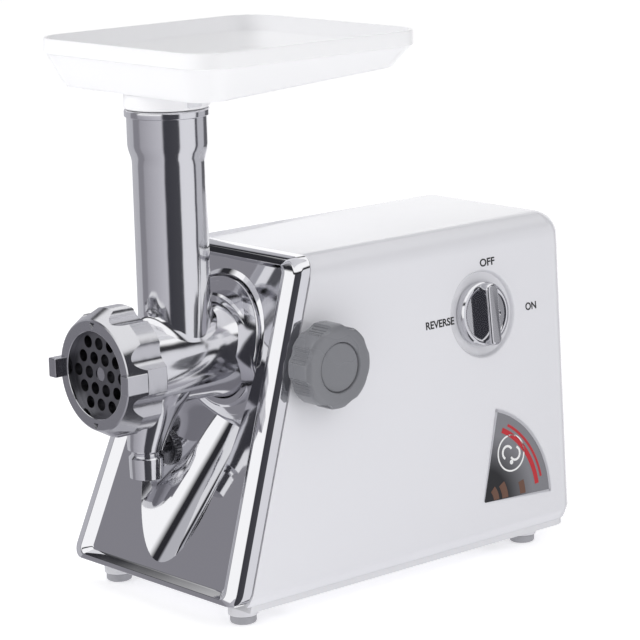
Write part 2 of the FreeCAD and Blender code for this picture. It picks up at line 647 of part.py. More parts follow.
def make_grinder_head():
    barrel = turned("head_barrel", [
        (0, "mouth_y"), ("thread_radius", "mouth_y"), ("thread_radius", "mouth_y + thread_length"),
        ("barrel_radius", "mouth_y + thread_length"), ("barrel_radius", "spigot_y"),
        ("spigot_radius", "spigot_y"), ("spigot_radius", SPIGOT_END), (0, SPIGOT_END)],
        "Y", 0, 0, "axis_z")
    feed_tube = turned("head_tube", [
        (0, "axis_z"), ("tube_radius", "axis_z"), ("tube_radius", "cup_z - cup_taper"),
        ("cup_radius", "cup_z"), ("cup_radius", "rim_z - rim_band"),
        ("cup_radius + rim_proud", "rim_z - rim_band"), ("cup_radius + rim_proud", "rim_z"),
        (0, "rim_z")], "Z", 0, "tube_y")
    tube_bore = turned("head_tube_bore", [
        (0, "axis_z"), ("tube_bore", "axis_z"), ("tube_bore", "cup_z - cup_taper"),
        ("cup_bore", "cup_z"), ("cup_bore", "rim_z + 1"), (0, "rim_z + 1")], "Z", 0, "tube_y")
    seat = "disc_radius + running_gap"
    shoulder = f"{DISC_REAR} + running_gap"
    journal = "shank_radius + fit_gap"
    wall_end = "bore_end_y + bore_wall"
    pocket = "socket_radius + 2"
    bore = turned("head_bore", [
        (0, "mouth_y - 1"), (seat, "mouth_y - 1"), (seat, shoulder), ("bore_radius", shoulder),
        ("bore_radius", "bore_end_y"), (journal, "bore_end_y"), (journal, wall_end),
        (pocket, wall_end), (pocket, f"{SPIGOT_END} + 1"), (0, f"{SPIGOT_END} + 1")],
        "Y", 0, 0, "axis_z")
    foot = doc.addObject("Part::Prism", "post_end")
    foot.Polygon = 8
    bind(foot, Circumradius="post_radius - 0.6", Height="post_groove_z - post_end_z")
    place(foot, 0, "post_y", "post_end_z")
    groove = cut("post_groove_ring",
                 cylinder("groove_outer", "post_radius * 2", "post_groove", 0, "post_y", "post_groove_z"),
                 cylinder("groove_inner", "post_radius - post_groove", "post_groove", 0, "post_y",
                          "post_groove_z"))
    hole = cylinder("post_screw_hole", "post_screw_shank + fit_gap", "2 * post_screw_length", 0,
                    "post_screw_y - post_screw_length - running_gap", "post_groove_z", "Y")
    spot_face = cylinder("post_spot_face", "post_screw_radius + running_gap", "2 * post_screw_head", 0,
                         "post_screw_y", "post_groove_z", "Y")
    solid = fuse("head_solid", barrel, feed_tube, leaning_post("post_root"), foot)
    keep(cut("grinder_head", solid, tube_bore, bore, groove, hole, spot_face), "grinder_head")
    keep(turned("post_screw", [
        (0, "post_screw_y - post_screw_length"),
        ("post_screw_shank", "post_screw_y - post_screw_length"),
        ("post_screw_shank", "post_screw_y"), ("post_screw_radius", "post_screw_y"),
        ("post_screw_radius", "post_screw_y + post_screw_head"),
        (0, "post_screw_y + post_screw_head")], "Y", 0, 0, "post_groove_z"), "post_screw")


def make_feed_screw():
    edge = "bore_radius - screw_clear"
    rear_end = "(bore_end_y - running_gap - 2)"
    journal_end = "(bore_end_y + bore_wall + 2)"
    body = turned("screw_body", [
        (0, "disc_face_y + 0.5"), ("pin_radius", "disc_face_y + 0.5"), ("pin_radius", KNIFE_FRONT),
        ("square_side / 2", KNIFE_FRONT), ("square_side / 2", KNIFE_REAR), ("core_radius", KNIFE_REAR),
        ("core_radius", rear_end), ("shank_radius", rear_end), ("shank_radius", journal_end),
        (0, journal_end)], "Y", 0, 0, "axis_z")
    profile = outline(body, "flight_profile", "XY_Plane", [
        ("core_radius - 1", f"{KNIFE_REAR} + flight_thick"), (edge, f"{KNIFE_REAR} + flight_thick"),
        (edge, f"{KNIFE_REAR} + 2 * flight_thick"),
        ("core_radius - 1", f"{KNIFE_REAR} + 2.6 * flight_thick")])
    flight = body.newObject("PartDesign::AdditiveHelix", "screw_flight")
    flight.Profile = profile
    flight.ReferenceAxis = (profile, ["V_Axis"])
    flight.Mode = "pitch-height-angle"
    bind(flight, Pitch="flight_pitch", Height=f"{rear_end} - {KNIFE_REAR} - 3.6 * flight_thick")
    side = "square_side / 2"
    square = box("screw_square", (f"-{side}", side), (KNIFE_FRONT, f"{KNIFE_REAR} + 1"),
                 (f"axis_z - {side}", f"axis_z + {side}"))
    drive = hexagon("screw_hexagon", "hex_radius", "hex_length + 1", 0, f"{journal_end} - 1", "axis_z")
    keep(fuse("feed_screw", body, square, drive), "feed_screw")
    keep(tube("screw_washer", "shank_radius * 1.8", "shank_radius", 2, 0, rear_end, "axis_z"),
         "screw_washer")


def make_cross_knife():
    reach = "(bore_radius - screw_clear)"
    half = "knife_blade / 2"
    height = (KNIFE_FRONT, KNIFE_REAR)
    level = box("knife_level", (f"-{reach}", reach), height, (f"axis_z - {half}", f"axis_z + {half}"))
    upright = box("knife_upright", (f"-{half}", half), height, (f"axis_z - {reach}", f"axis_z + {reach}"))
    boss = cylinder("knife_boss", "core_radius", "knife_thick", 0, KNIFE_FRONT, "axis_z", "Y")
    rim = cylinder("knife_rim", reach, "knife_thick", 0, KNIFE_FRONT, "axis_z", "Y")
    hole = "(square_side / 2 + fit_gap)"
    square = box("knife_hole", (f"-{hole}", hole), height, (f"axis_z - {hole}", f"axis_z + {hole}"))
    blades = common("knife_blades", fuse("knife_cross", level, upright, boss), rim)
    keep(cut("cross_knife", blades, square), "cross_knife")


def make_cutting_plate():
    disc = cylinder("plate_disc", "disc_radius", "disc_thick", 0, "disc_face_y", "axis_z", "Y")
    holes = [cylinder("plate_centre", "pin_radius + fit_gap", "disc_thick", 0, "disc_face_y",
                      "axis_z", "Y")]
    for line in range(-2, 3):
        count = 5 - abs(line)
        for i in range(count):
            shift = i - (count - 1) / 2
            if line or shift:
                holes.append(cylinder(f"plate_hole_{len(holes)}", "disc_hole", "disc_thick",
                                      f"{shift} * disc_pitch", "disc_face_y",
                                      f"axis_z + {line * math.sqrt(0.75)} * disc_pitch", "Y"))
    keep(cut("cutting_plate", disc, *holes), "cutting_plate")


def make_ring_nut():
    bore = "thread_radius + running_gap"
    ring = turned("nut_ring", [
        ("nut_opening", NUT_FRONT), ("nut_face_radius", NUT_FRONT),
        ("nut_radius", f"{NUT_FRONT} + nut_flare"), ("nut_radius", f"{NUT_FRONT} + nut_depth"),
        (bore, f"{NUT_FRONT} + nut_depth"), (bore, "disc_face_y"), ("nut_opening", "disc_face_y")],
        "Y", 0, 0, "axis_z")
    reach = sizes.nut_radius + sizes.scallop_radius - sizes.scallop_depth
    scallops = []
    for i in range(8):
        angle = math.radians(45 * i + 22.5)
        thing = bind(doc.addObject("Part::Cylinder", f"nut_scallop_{i + 1}"), Radius="scallop_radius",
                     Height="nut_depth + 2")
        scallops.append(place(thing, reach * math.cos(angle), f"{NUT_FRONT} - 1",
                              f"axis_z + {reach * math.sin(angle)}", TURNS["Y"]))
    lugs = []
    for side in (-1, 1):
        span = ["(nut_radius - lug_thick) * {}".format(side), "nut_radius * {}".format(side)]
        lugs.append(box(f"nut_lug_{side + 2}", tuple(span[::side]),
                        (f"{NUT_FRONT} - lug_reach", f"{NUT_FRONT} + nut_flare"),
                        ("axis_z - lug_width / 2", "axis_z + lug_width / 2")))
    keep(fuse("ring_nut", cut("nut_lobes", ring, *scallops), *lugs), "ring_nut")


def make_feed_tray():
    def tray_block(name, gap, low, high):
        """The tray's outside, or with a gap its hollow: a band with a funnel under it."""
        low_rim = f"(tray_z - tray_band + {low})"
        near, far, half = f"tray_front_y + {gap}", f"tray_rear_y - {gap}", f"(tray_half_w - {gap})"
        band = box(name + "_band", (f"-{half}", half), (near, far), (low_rim, f"tray_z + {high}"))
        slope = f"(floor_inset + {gap})"
        side_view = [(f"tray_front_y + {slope}", f"floor_front_z + {low}"),
                     (f"tray_rear_y - {slope}", f"floor_rear_z + {low}"), (far, low_rim), (near, low_rim)]
        narrow = f"(tray_half_w - {slope})"
        front_view = [(f"-{narrow}", f"floor_front_z + {low}"), (narrow, f"floor_front_z + {low}"),
                      (half, low_rim), (f"-{half}", low_rim)]
        funnel = two_view_block(name + "_funnel", side_view, front_view)

        def upright(edge):
            ends = [vertex.Point for vertex in edge.Vertexes]
            return abs(ends[0].z - ends[-1].z) > edge.Length / 2
        return fuse(name, *(rounded(piece.Name + "_rounded", piece, sizes.tray_corner, upright)
                            for piece in (band, funnel)))
    outside = tray_block("tray_outside", 0, 0, 0)
    hollow = tray_block("tray_hollow", "tray_wall", "tray_wall", 1)
    low = "(rim_z - spigot_reach)"
    spigot = cylinder("tray_spigot", "cup_bore - running_gap", f"floor_rear_z - {low}", 0, "tube_y", low)
    shoulder = cylinder("tray_shoulder", "cup_radius + rim_proud",
                        "floor_front_z + tray_wall - rim_z - running_gap", 0, "tube_y",
                        "rim_z + running_gap")
    throat = cylinder("tray_throat", "tube_bore", 60, 0, "tube_y", f"{low} - 1")
    pan = fuse("tray_pan", outside, shoulder, spigot)
    keep(cut("feed_tray", pan, hollow, throat), "feed_tray")


# ------------------------------------------------------------------ locking knob and dial
def make_locking_knob():
    back = "(knob_face_x - knob_thick)"
    disc = cylinder("knob_disc", "knob_radius", "knob_thick", back, "lock_y", "lock_z", "X")
    reach = sizes.knob_radius + sizes.knob_scallop - sizes.knob_scallop_depth
    scallops = []
    for i in range(8):
        angle = math.radians(45 * i + 22.5)
        scallops.append(cylinder(f"knob_scallop_{i + 1}", "knob_scallop", "knob_thick + 2", f"{back} - 1",
                                 f"lock_y + {reach * math.cos(angle)}",
                                 f"lock_z + {reach * math.sin(angle)}", "X"))
    cap_back = "knob_face_x - knob_cap_sink - cap_thick"
    recess = cylinder("knob_recess", "knob_cap_radius", "knob_cap_sink + cap_thick", cap_back, "lock_y",
                      "lock_z", "X")
    bore = cylinder("knob_bore", "stud_radius", "knob_thick - knob_floor", back, "lock_y", "lock_z", "X")
    keep(cut("lock_knob", disc, *scallops, recess, bore), "lock_knob")
    keep(cylinder("lock_cap", "knob_cap_radius", "cap_thick", cap_back, "lock_y", "lock_z", "X"),
         "lock_knob_cap")
    tip = "(spigot_radius + 2 * running_gap)"
    keep(cylinder("stud", "stud_radius", f"knob_face_x - knob_floor - {tip}", tip, "lock_y", "lock_z",
                  "X"), "lock_stud")
    wall_x = f"({half_width('lock_z - washer_radius')} + running_gap)"
    keep(tube("washer", "washer_radius", "stud_radius + running_gap", f"{back} - running_gap - {wall_x}",
              wall_x, "lock_y", "lock_z", "X"), "lock_washer")


def wall_block(name, along, up, low, high):
    """A block on the dial's axis, between two depths from the side wall."""
    thing = bind(doc.addObject("Part::Box", name), Length=along, Width=up, Height=f"({high}) - ({low})")
    seat = side_wall(sizes.dial_y, sizes.dial_z, low)
    corner = seat.Rotation.multVec(Vector(-thing_size(along) / 2, -thing_size(up) / 2, 0))
    thing.Placement = FreeCAD.Placement(seat.Base + corner, seat.Rotation)
    return thing


def thing_size(value):
    return getattr(sizes, value) if isinstance(value, str) else value


def make_dial():
    back = sizes.running_gap - sizes.dish_depth
    top = back + sizes.dial_thick
    disc = wall_disc("dial_disc", "dial_radius", back, top)
    bar = wall_block("dial_bar", "grip_width", 2 * sizes.dial_radius, top - 1, top + sizes.grip_height)
    limit = wall_disc("dial_limit", sizes.dial_radius - 0.6, back, top + sizes.grip_height + 1)
    keep(fuse("dial", disc, common("dial_grip", bar, limit)), "dial_knob")
    pad_back = -sizes.dish_depth - sizes.wall
    tip = pad_back - sizes.spindle_reach
    keep(wall_disc("spindle", "spindle_radius", tip, back), "dial_spindle")
    case = wall_block("switch_case", "switch_width", "switch_height", pad_back - sizes.switch_depth,
                      pad_back)
    hole = wall_disc("switch_hole", sizes.spindle_radius + sizes.fit_gap, tip - 1, pad_back + 1)
    keep(cut("rotary_switch", case, hole), "rotary_switch")


# ------------------------------------------------------------------ gear train
def pitch_radius(name):
    return MODULE[name] * TEETH[name] / 2


def tip_radius(name):
    """Large gears have shortened teeth, so that they clear the roots of the small pinions."""
    return pitch_radius(name) + MODULE[name] * (0.75 if TEETH[name] > 20 else 1.0)


def second_centre():
    """The second shaft meshes with the first shaft's pinion and with the output gear."""
    first, output = first_centre(), Vector(0, 0, sizes.axis_z)
    to_first = pitch_radius("first_pinion") + pitch_radius("second_gear")
    to_output = pitch_radius("second_pinion") + pitch_radius("output_gear")
    apart = output - first
    along = (to_first ** 2 - to_output ** 2 + apart.Length ** 2) / (2 * apart.Length)
    across = math.sqrt(to_first ** 2 - along ** 2)
    unit = apart / apart.Length
    return first + unit * along + Vector(unit.z, 0, -unit.x) * across


def first_centre():
    """The first shaft keeps its height and stands at the motor pinion's centre distance."""
    apart = pitch_radius("motor_pinion") + pitch_radius("first_gear")
    rise = sizes.first_z - sizes.motor_z
    return Vector(-math.sqrt(apart ** 2 - rise ** 2), 0, sizes.first_z)


def gear_face(name, phase):
    """Facetted involute teeth with play, as a flat face in the XZ plane."""
    teeth, module = TEETH[name], MODULE[name]
    pitch, tip = pitch_radius(name), tip_radius(name)
    pressure = math.radians(20)
    base = pitch * math.cos(pressure)
    root = pitch - 1.25 * module
    half = math.pi / (2 * teeth) - sizes.backlash / (2 * pitch)

    def involute(angle):
        return math.tan(angle) - angle

    def half_angle(radius):
        return half + involute(pressure) - involute(math.acos(min(1.0, base / radius)))
    foot = max(base, root)
    flank = [(foot + (tip - foot) * i / 4, half_angle(foot + (tip - foot) * i / 4)) for i in range(5)]
    if root < base:
        flank.insert(0, (root, half_angle(base) * 0.8))
    points = []
    for tooth in range(teeth):
        middle = phase + 2 * math.pi * tooth / teeth
        tooth_side = [(radius, middle - angle) for radius, angle in flank]
        far_side = [(radius, middle + angle) for radius, angle in reversed(flank)]
        points += [Vector(r * math.cos(a), 0, r * math.sin(a)) for r, a in tooth_side + far_side]
    return Part.Face(Part.makePolygon(points + points[:1]))


def make_gear(name, phase, y, width, x, z, bore):
    teeth = gear_face(name, phase).extrude(Vector(0, width, 0))
    hole = Part.makeCylinder(bore, width, Vector(), Y_AXIS)
    gear = doc.addObject("Part::Feature", name)
    gear.Shape = teeth.cut(hole)
    gear.Placement = FreeCAD.Placement(Vector(x, y, z), FreeCAD.Rotation())
    return keep(gear, name)


def direction(start, end):
    return math.atan2(end.z - start.z, end.x - start.x)


def make_gear_train():
    motor, output = Vector(0, 0, sizes.motor_z), Vector(0, 0, sizes.axis_z)
    first, second = first_centre(), second_centre()
    loose = sizes.axle_radius + sizes.fit_gap
    out_y = sizes.box_front_y + sizes.box_wall + sizes.gear_gap
    second_y = out_y + sizes.output_width + sizes.gear_gap
    first_y = second_y + sizes.second_width + sizes.gear_gap
    lap = 1.0
    make_gear("motor_pinion", direction(motor, first), first_y - lap, sizes.first_width + 2 * lap,
              motor.x, motor.z, sizes.nose_radius)
    make_gear("first_gear", direction(motor, first) + math.pi + math.pi / TEETH["first_gear"],
              first_y, sizes.first_width, first.x, first.z, loose)
    make_gear("first_pinion", direction(first, second), second_y - lap,
              first_y - second_y + lap, first.x, first.z, loose)
    make_gear("second_gear", direction(first, second) + math.pi + math.pi / TEETH["second_gear"],
              second_y, sizes.second_width, second.x, second.z, loose)
    make_gear("second_pinion", direction(second, output), out_y - lap, second_y - out_y + lap,
              second.x, second.z, loose)
    make_gear("output_gear", direction(second, output) + math.pi + math.pi / TEETH["output_gear"],
              out_y, sizes.output_width, output.x, output.z, sizes.output_shaft_radius)
    shaft = turned("shaft_body", [
        (0, SOCKET_FRONT), ("socket_radius", SOCKET_FRONT), ("socket_radius", out_y),
        ("output_shaft_radius", out_y), ("output_shaft_radius", "box_rear_y + cover_thick"),
        (0, "box_rear_y + cover_thick")], "Y", 0, 0, "axis_z")
    socket = hexagon("shaft_socket", "hex_radius + running_gap", "hex_length + 1", 0,
                     f"{SOCKET_FRONT} - 1", "axis_z")
    keep(cut("output_shaft", shaft, socket), "output_shaft")
    for name, centre in (("first_axle", first), ("second_axle", second)):
        keep(cylinder(name + "_pin", "axle_radius", "box_rear_y + cover_thick - box_front_y", centre.x,
                      "box_front_y", centre.z, "Y"), name)
    return first, second, output


def make_gearbox(first, second, output):
    motor = Vector(0, 0, sizes.motor_z)
    centres = ((first, tip_radius("first_gear")), (second, tip_radius("second_gear")),
               (output, tip_radius("output_gear")), (motor, tip_radius("motor_pinion")))

    def lobes(name, extra, y, length):
        return fuse(name, *(cylinder(f"{name}_{i}", f"{tip} + gear_room + {extra}", length, centre.x,
                                     y, centre.z, "Y") for i, (centre, tip) in enumerate(centres)))
    outside = lobes("case_outside", "box_wall", "box_front_y", "box_rear_y - box_front_y")
    floor = "(foot_height + boss_height + wall)"
    legs = [cylinder(f"case_leg_{i}", "leg_radius", f"{centre.z} - {floor}", x,
                     "(box_front_y + box_rear_y) / 2", floor)
            for i, (centre, x) in enumerate(((first, first.x - 2 * sizes.leg_radius),
                                            (second, second.x + 3 * sizes.leg_radius)), start=1)]
    outside = fuse("case_on_legs", outside, *legs)
    hollow = lobes("case_hollow", 0, "box_front_y + box_wall", "box_rear_y - box_front_y")
    lid = lobes("cover_lid", "box_wall", "box_rear_y", "cover_thick")
    spots = [(centre + Vector(math.cos(turn), 0, math.sin(turn))
              * (tip + sizes.gear_room + sizes.box_wall / 2))
             for (centre, tip), turn in zip((centres[0], centres[1], centres[2], centres[2]),
                                            map(math.radians, (190, -30, 45, 135)))]

    def screw_row(name, radius, low, length):
        return [cylinder(f"{name}_{i}", radius, length, spot.x, low, spot.z, "Y")
                for i, spot in enumerate(spots, start=1)]
    axles = [cylinder(f"{name}_axle_{i}", "axle_radius", 60, centre.x, "box_front_y", centre.z, "Y")
             for name in ("case", "cover") for i, centre in enumerate((first, second), start=1)]
    lid_y, lid_end = "box_rear_y", "(box_rear_y + cover_thick)"
    front_bush = cylinder("front_bush_hole", "socket_radius + bush_wall", "box_wall + 2", 0,
                          "box_front_y - 1", "axis_z", "Y")
    rear_bush = cylinder("rear_bush_hole", "output_shaft_radius + bush_wall", "cover_thick + 2", 0,
                         f"{lid_y} - 1", "axis_z", "Y")
    shaft_hole = cylinder("motor_shaft_hole", "shaft_radius + 2", "cover_thick + 2", 0, f"{lid_y} - 1",
                          "motor_z", "Y")
    grip, low = "case_screw_grip + cover_thick", f"{lid_y} - case_screw_grip"
    keep(cut("case", outside, hollow, front_bush, *axles[:2],
             *screw_row("case_screw_hole", "case_screw_radius", low, grip)), "gearbox_case")
    keep(cut("cover", lid, rear_bush, shaft_hole, *axles[2:],
             *screw_row("cover_screw_hole", "case_screw_radius", low, grip)), "gearbox_cover")
    screws = [fuse(f"case_screw_{i}", shank, cylinder(
        f"case_screw_head_{i}", "case_screw_radius * 2", "case_screw_head", spots[i - 1].x, lid_end,
        spots[i - 1].z, "Y"))
        for i, shank in enumerate(screw_row("case_screw_shank", "case_screw_radius", low, grip), start=1)]
    keep(group("screws_in_case", *screws), "gearbox_screws")
    keep(tube("front_bush", "socket_radius + bush_wall", "socket_radius + fit_gap", "box_wall", 0,
              "box_front_y", "axis_z"), "output_front_bush")
    keep(tube("rear_bush", "output_shaft_radius + bush_wall", "output_shaft_radius + fit_gap",
              "cover_thick", 0, lid_y, "axis_z"), "output_rear_bush")


# ------------------------------------------------------------------ motor
COVER_REAR = "(box_rear_y + cover_thick)"
STATOR_END = "(stator_y + stator_length)"


def make_motor_frame():
    def motor_part(name, corners):
        return turned(name, corners, "Y", 0, 0, "motor_z")
    cup = "stator_radius + shell_thick"
    floor = f"({COVER_REAR} + bracket_depth)"
    front_cup = motor_part("front_cup", [
        ("bearing_radius", COVER_REAR), (cup, COVER_REAR), (cup, "stator_y + shell_lap"),
        ("stator_radius", "stator_y + shell_lap"), ("stator_radius", floor), ("bearing_radius", floor)])
    end = "(bracket_y + bracket_depth)"
    rear_cup = motor_part("rear_cup", [
        ("bearing_radius", "bracket_y"), ("stator_radius", "bracket_y"),
        ("stator_radius", f"{STATOR_END} - shell_lap"), (cup, f"{STATOR_END} - shell_lap"), (cup, end),
        ("bearing_radius", end)])
    stack = tube("stator_stack", "stator_radius", "stator_bore", "stator_length", 0, "stator_y", "motor_z")

    def bolts(name, radius, low, length):
        return [cylinder(f"{name}_{i}", radius, length, f"{side} * bolt_x", low, "motor_z", "Y")
                for i, side in enumerate((-1, 1), start=1)]
    whole = f"{end} - {COVER_REAR}"
    keep(cut("front_bracket", front_cup, *bolts("front_bolt_hole", "bolt_radius", COVER_REAR, whole)),
         "motor_front_bracket")
    past, mid = "2 * stator_radius", "stator_radius / 2"
    over = ("commutator_y", "commutator_y + commutator_length")
    windows = [box(f"rear_window_{i}", span, over,
                   ("motor_z - commutator_radius", "motor_z + commutator_radius"))
               for i, span in enumerate(((f"-{past}", f"-{mid}"), (mid, past)), start=1)]
    slot = "(brush_half + brush_wall + 1)"
    holders = [box(f"holder_slot_{i}", (f"-{slot}", slot), over, span)
               for i, span in enumerate(((f"motor_z + {mid}", f"motor_z + {past}"),
                                         (f"motor_z - {past}", f"motor_z - {mid}")), start=1)]
    keep(cut("rear_bracket", rear_cup, *windows, *holders,
             *bolts("rear_bolt_hole", "bolt_radius", COVER_REAR, whole)), "motor_rear_bracket")
    keep(cut("stator", stack, *bolts("stator_bolt_hole", "bolt_radius", "stator_y", "stator_length")),
         "motor_stator")
    rods = []
    for i, rod in enumerate(bolts("bolt_rod", "bolt_radius", f"{COVER_REAR}", f"{whole} + 1")):
        side = (-1, 1)[i]
        head = cylinder(f"bolt_head_{i + 1}", "bolt_radius * 2", 3, f"{side} * bolt_x", end, "motor_z", "Y")
        rods.append(fuse(f"motor_bolt_{i + 1}", rod, head))
    keep(group("bolts_in_motor", *rods), "motor_bolts")
    races = [tube(f"bearing_{i}", "bearing_radius", "shaft_radius + fit_gap", "bracket_depth", 0, y,
                  "motor_z") for i, y in enumerate((COVER_REAR, "bracket_y"), start=1)]
    keep(group("bearings_in_motor", *races), "motor_bearings")
    coils = []
    for i, y in enumerate(("stator_y - coil_overhang", STATOR_END), start=1):
        ring = tube(f"coil_ring_{i}", "stator_radius - 3", "stator_bore + 3", "coil_overhang", 0, y,
                    "motor_z")
        gap = box(f"coil_gap_{i}", ("-stator_radius", "stator_radius"), (y, f"{y} + coil_overhang"),
                  ("motor_z - stator_radius / 4", "motor_z + stator_radius / 4"))
        coils.append(cut(f"coil_end_{i}", ring, gap))
    keep(group("coils_in_motor", *coils), "field_coils")
    middle = "(commutator_y + commutator_length / 2)"
    cases, blocks = [], []
    wide, touch = "(brush_half + brush_wall)", "commutator_radius + running_gap"
    long = "(brush_half + 1)"
    for i, side in enumerate(("", "-"), start=1):
        holder_span = [f"motor_z + {side}(brush_rise)", f"motor_z + {side}(stator_radius)"]
        brush_span = [f"motor_z + {side}({touch})", f"motor_z + {side}(brush_end)"]
        if side:
            holder_span.reverse()
            brush_span.reverse()
        sleeve = box(f"holder_body_{i}", (f"-{wide}", wide),
                     (f"{middle} - {long} - 1", f"{middle} + {long} + 1"), holder_span)
        slot = box(f"holder_hole_{i}", ("-brush_half", "brush_half"),
                   (f"{middle} - {long}", f"{middle} + {long}"), holder_span)
        cases.append(cut(f"holder_{i}", sleeve, slot))
        blocks.append(box(f"brush_{i}", ("-brush_half", "brush_half"),
                          (f"{middle} - {long}", f"{middle} + {long}"), brush_span))
    keep(group("holders_in_motor", *cases), "brush_holders")
    keep(group("brushes_in_motor", *blocks), "carbon_brushes")


def make_rotor():
    nose = f"({COVER_REAR} - 5)"
    fan_end = "(fan_y + fan_depth)"
    keep(turned("rotor_axle", [
        (0, "box_rear_y - pinion_seat"), ("nose_radius", "box_rear_y - pinion_seat"),
        ("nose_radius", nose),
        ("shaft_radius", nose), ("shaft_radius", fan_end), (0, fan_end)], "Y", 0, 0, "motor_z"),
        "rotor_shaft")
    keep(tube("rotor_stack", "rotor_radius", "shaft_radius", "stator_length", 0, "stator_y",
              "motor_z"), "rotor_core")
    ends = [tube(f"rotor_coil_{i}", "rotor_radius - 3", "shaft_radius", "coil_overhang - 1", 0, y,
                 "motor_z") for i, y in enumerate(("stator_y - coil_overhang + 1", STATOR_END), start=1)]
    keep(group("coils_on_rotor", *ends), "rotor_winding")
    keep(tube("segments", "commutator_radius", "shaft_radius", "commutator_length", 0, "commutator_y",
              "motor_z"), "commutator")
    back = tube("fan_back", "fan_radius", "shaft_radius", "fan_plate", 0, "fan_y", "motor_z")
    boss = tube("fan_boss", "shaft_radius + 2 * fan_plate", "shaft_radius", "fan_depth", 0, "fan_y",
                "motor_z")
    blades = []
    for i in range(9):
        blade = bind(doc.addObject("Part::Box", f"fan_blade_{i + 1}"), Length="fan_radius - shaft_radius - 2",
                     Width="fan_depth", Height="fan_plate")
        turn = FreeCAD.Rotation(Y_AXIS, 40 * i)
        start = turn.multVec(Vector(sizes.shaft_radius + 2, 0, 0))
        blades.append(place(blade, start.x, "fan_y", f"motor_z + {start.z}", turn))
    keep(fuse("fan", back, boss, *blades), "cooling_fan")


make_housing_shell()
make_front_fascia()
make_base_plate()
make_side_badge()
make_feet()
make_cord_inlet()
make_hub_collar()
make_grinder_head()
make_feed_screw()
make_cross_knife()
make_cutting_plate()
make_ring_nut()
make_feed_tray()
make_locking_knob()
make_dial()
make_gearbox(*make_gear_train())
make_motor_frame()
make_rotor()


# ------------------------------------------------------------------ writing
def check_and_write():
    doc.recompute()
    for thing in doc.Objects:
        if "Invalid" in thing.State or "Error" in thing.State:
            raise RuntimeError(f"{thing.Label} did not recompute: {thing.State}")
    os.makedirs("parts", exist_ok=True)
    for thing in sub_parts:
        shape = thing.Shape
        if shape.isNull() or not shape.isValid() or not shape.Solids:
            raise RuntimeError(f"{thing.Label} is not a valid solid")
    for thing in sub_parts:
        thing.Shape.exportStep(f"parts/{thing.Label}.step")
        print(f"{thing.Label:24s} solids {len(thing.Shape.Solids):2d}  mm3 {thing.Shape.Volume:10.0f}")


check_and_write()
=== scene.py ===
# %% [markdown]
# # An electric meat grinder
# A white moulded housing with a leaning chromium-plated front, a polished aluminium grinder head
# with its ring nut, a white feed tray, a star knob that locks the head and a rotary switch.
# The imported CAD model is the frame. Pieces whose shape is right keep their CAD mesh and get a
# finish, and the pieces that the eye rests on are modelled again here with softer edges.

# %% Load the frame
import math
import bmesh
import bpy
from mathutils import Matrix, Vector


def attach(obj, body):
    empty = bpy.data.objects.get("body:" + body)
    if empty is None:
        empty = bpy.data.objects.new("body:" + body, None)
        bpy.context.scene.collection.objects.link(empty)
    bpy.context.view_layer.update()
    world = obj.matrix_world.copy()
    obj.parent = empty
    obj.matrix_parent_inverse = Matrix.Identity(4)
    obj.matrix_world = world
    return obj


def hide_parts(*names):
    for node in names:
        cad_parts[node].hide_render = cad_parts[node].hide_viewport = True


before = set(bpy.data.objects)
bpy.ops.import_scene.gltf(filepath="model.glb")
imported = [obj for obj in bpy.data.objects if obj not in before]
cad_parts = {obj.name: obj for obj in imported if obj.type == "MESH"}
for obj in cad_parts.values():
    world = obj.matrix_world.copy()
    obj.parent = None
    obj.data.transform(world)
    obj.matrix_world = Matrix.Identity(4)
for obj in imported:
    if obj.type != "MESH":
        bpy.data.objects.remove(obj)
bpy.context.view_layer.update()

# %% [markdown]
# ## Camera
# A long lens from the front right, a little above the tray, as for a product picture on a table.
# The camera's own axes are worked out from its heading, its height and a small roll.

# %% Camera
def look(heading, elevation, roll):
    """The camera's rotation: it looks along -Z of this matrix."""
    a, e, r = (math.radians(d) for d in (heading, elevation, roll))
    back = Vector((math.sin(a) * math.cos(e), -math.cos(a) * math.cos(e), math.sin(e)))
    right = Vector((math.cos(a), math.sin(a), 0))
    up = back.cross(right)
    right, up = (math.cos(r) * right + math.sin(r) * up, math.cos(r) * up - math.sin(r) * right)
    return Matrix((right, up, back)).transposed()


lens = bpy.data.cameras.new("product_lens")
lens.lens = 155.1
lens.sensor_width = 36
camera = bpy.data.objects.new("product_camera", lens)
camera.matrix_world = look(49.11, 11.94, -1.51).to_4x4()
camera.location = (1.1999, -1.0373, 0.4817)
bpy.context.scene.collection.objects.link(camera)
bpy.context.scene.camera = camera
print("camera at", [round(c, 3) for c in camera.location])

# %% [markdown]
# ## Colours and nodes
# Every colour is written as the sRGB hex value that the eye sees and turned to linear light once.
# One small function adds a node, sets its values and links its inputs.

# %% Colour and node helpers
def linear(code, strength=1.0):
    """An sRGB hex colour as linear RGBA."""
    parts = [int(code[i:i + 2], 16) / 255 for i in (1, 3, 5)]
    return [strength * (c / 12.92 if c <= 0.04045 else ((c + 0.055) / 1.055) ** 2.4) for c in parts] + [1.0]


def add_node(tree, kind, settings=None, **inputs):
    """Adds a node; an input is a value, or a (node, output name) pair to link from."""
    node = tree.nodes.new(kind)
    for name, value in (settings or {}).items():
        setattr(node, name, value)
    for name, value in inputs.items():
        key = int(name[1:]) if name[0] == "_" else name.replace("_", " ")
        if isinstance(value, tuple) and isinstance(value[0], bpy.types.Node):
            tree.links.new(value[0].outputs[value[1]], node.inputs[key])
        else:
            node.inputs[key].default_value = value
    return node


def per_metre(millimetres):
    """The texture scale at which a pattern repeats every so many millimetres."""
    return 1000.0 / millimetres


MADE = {}


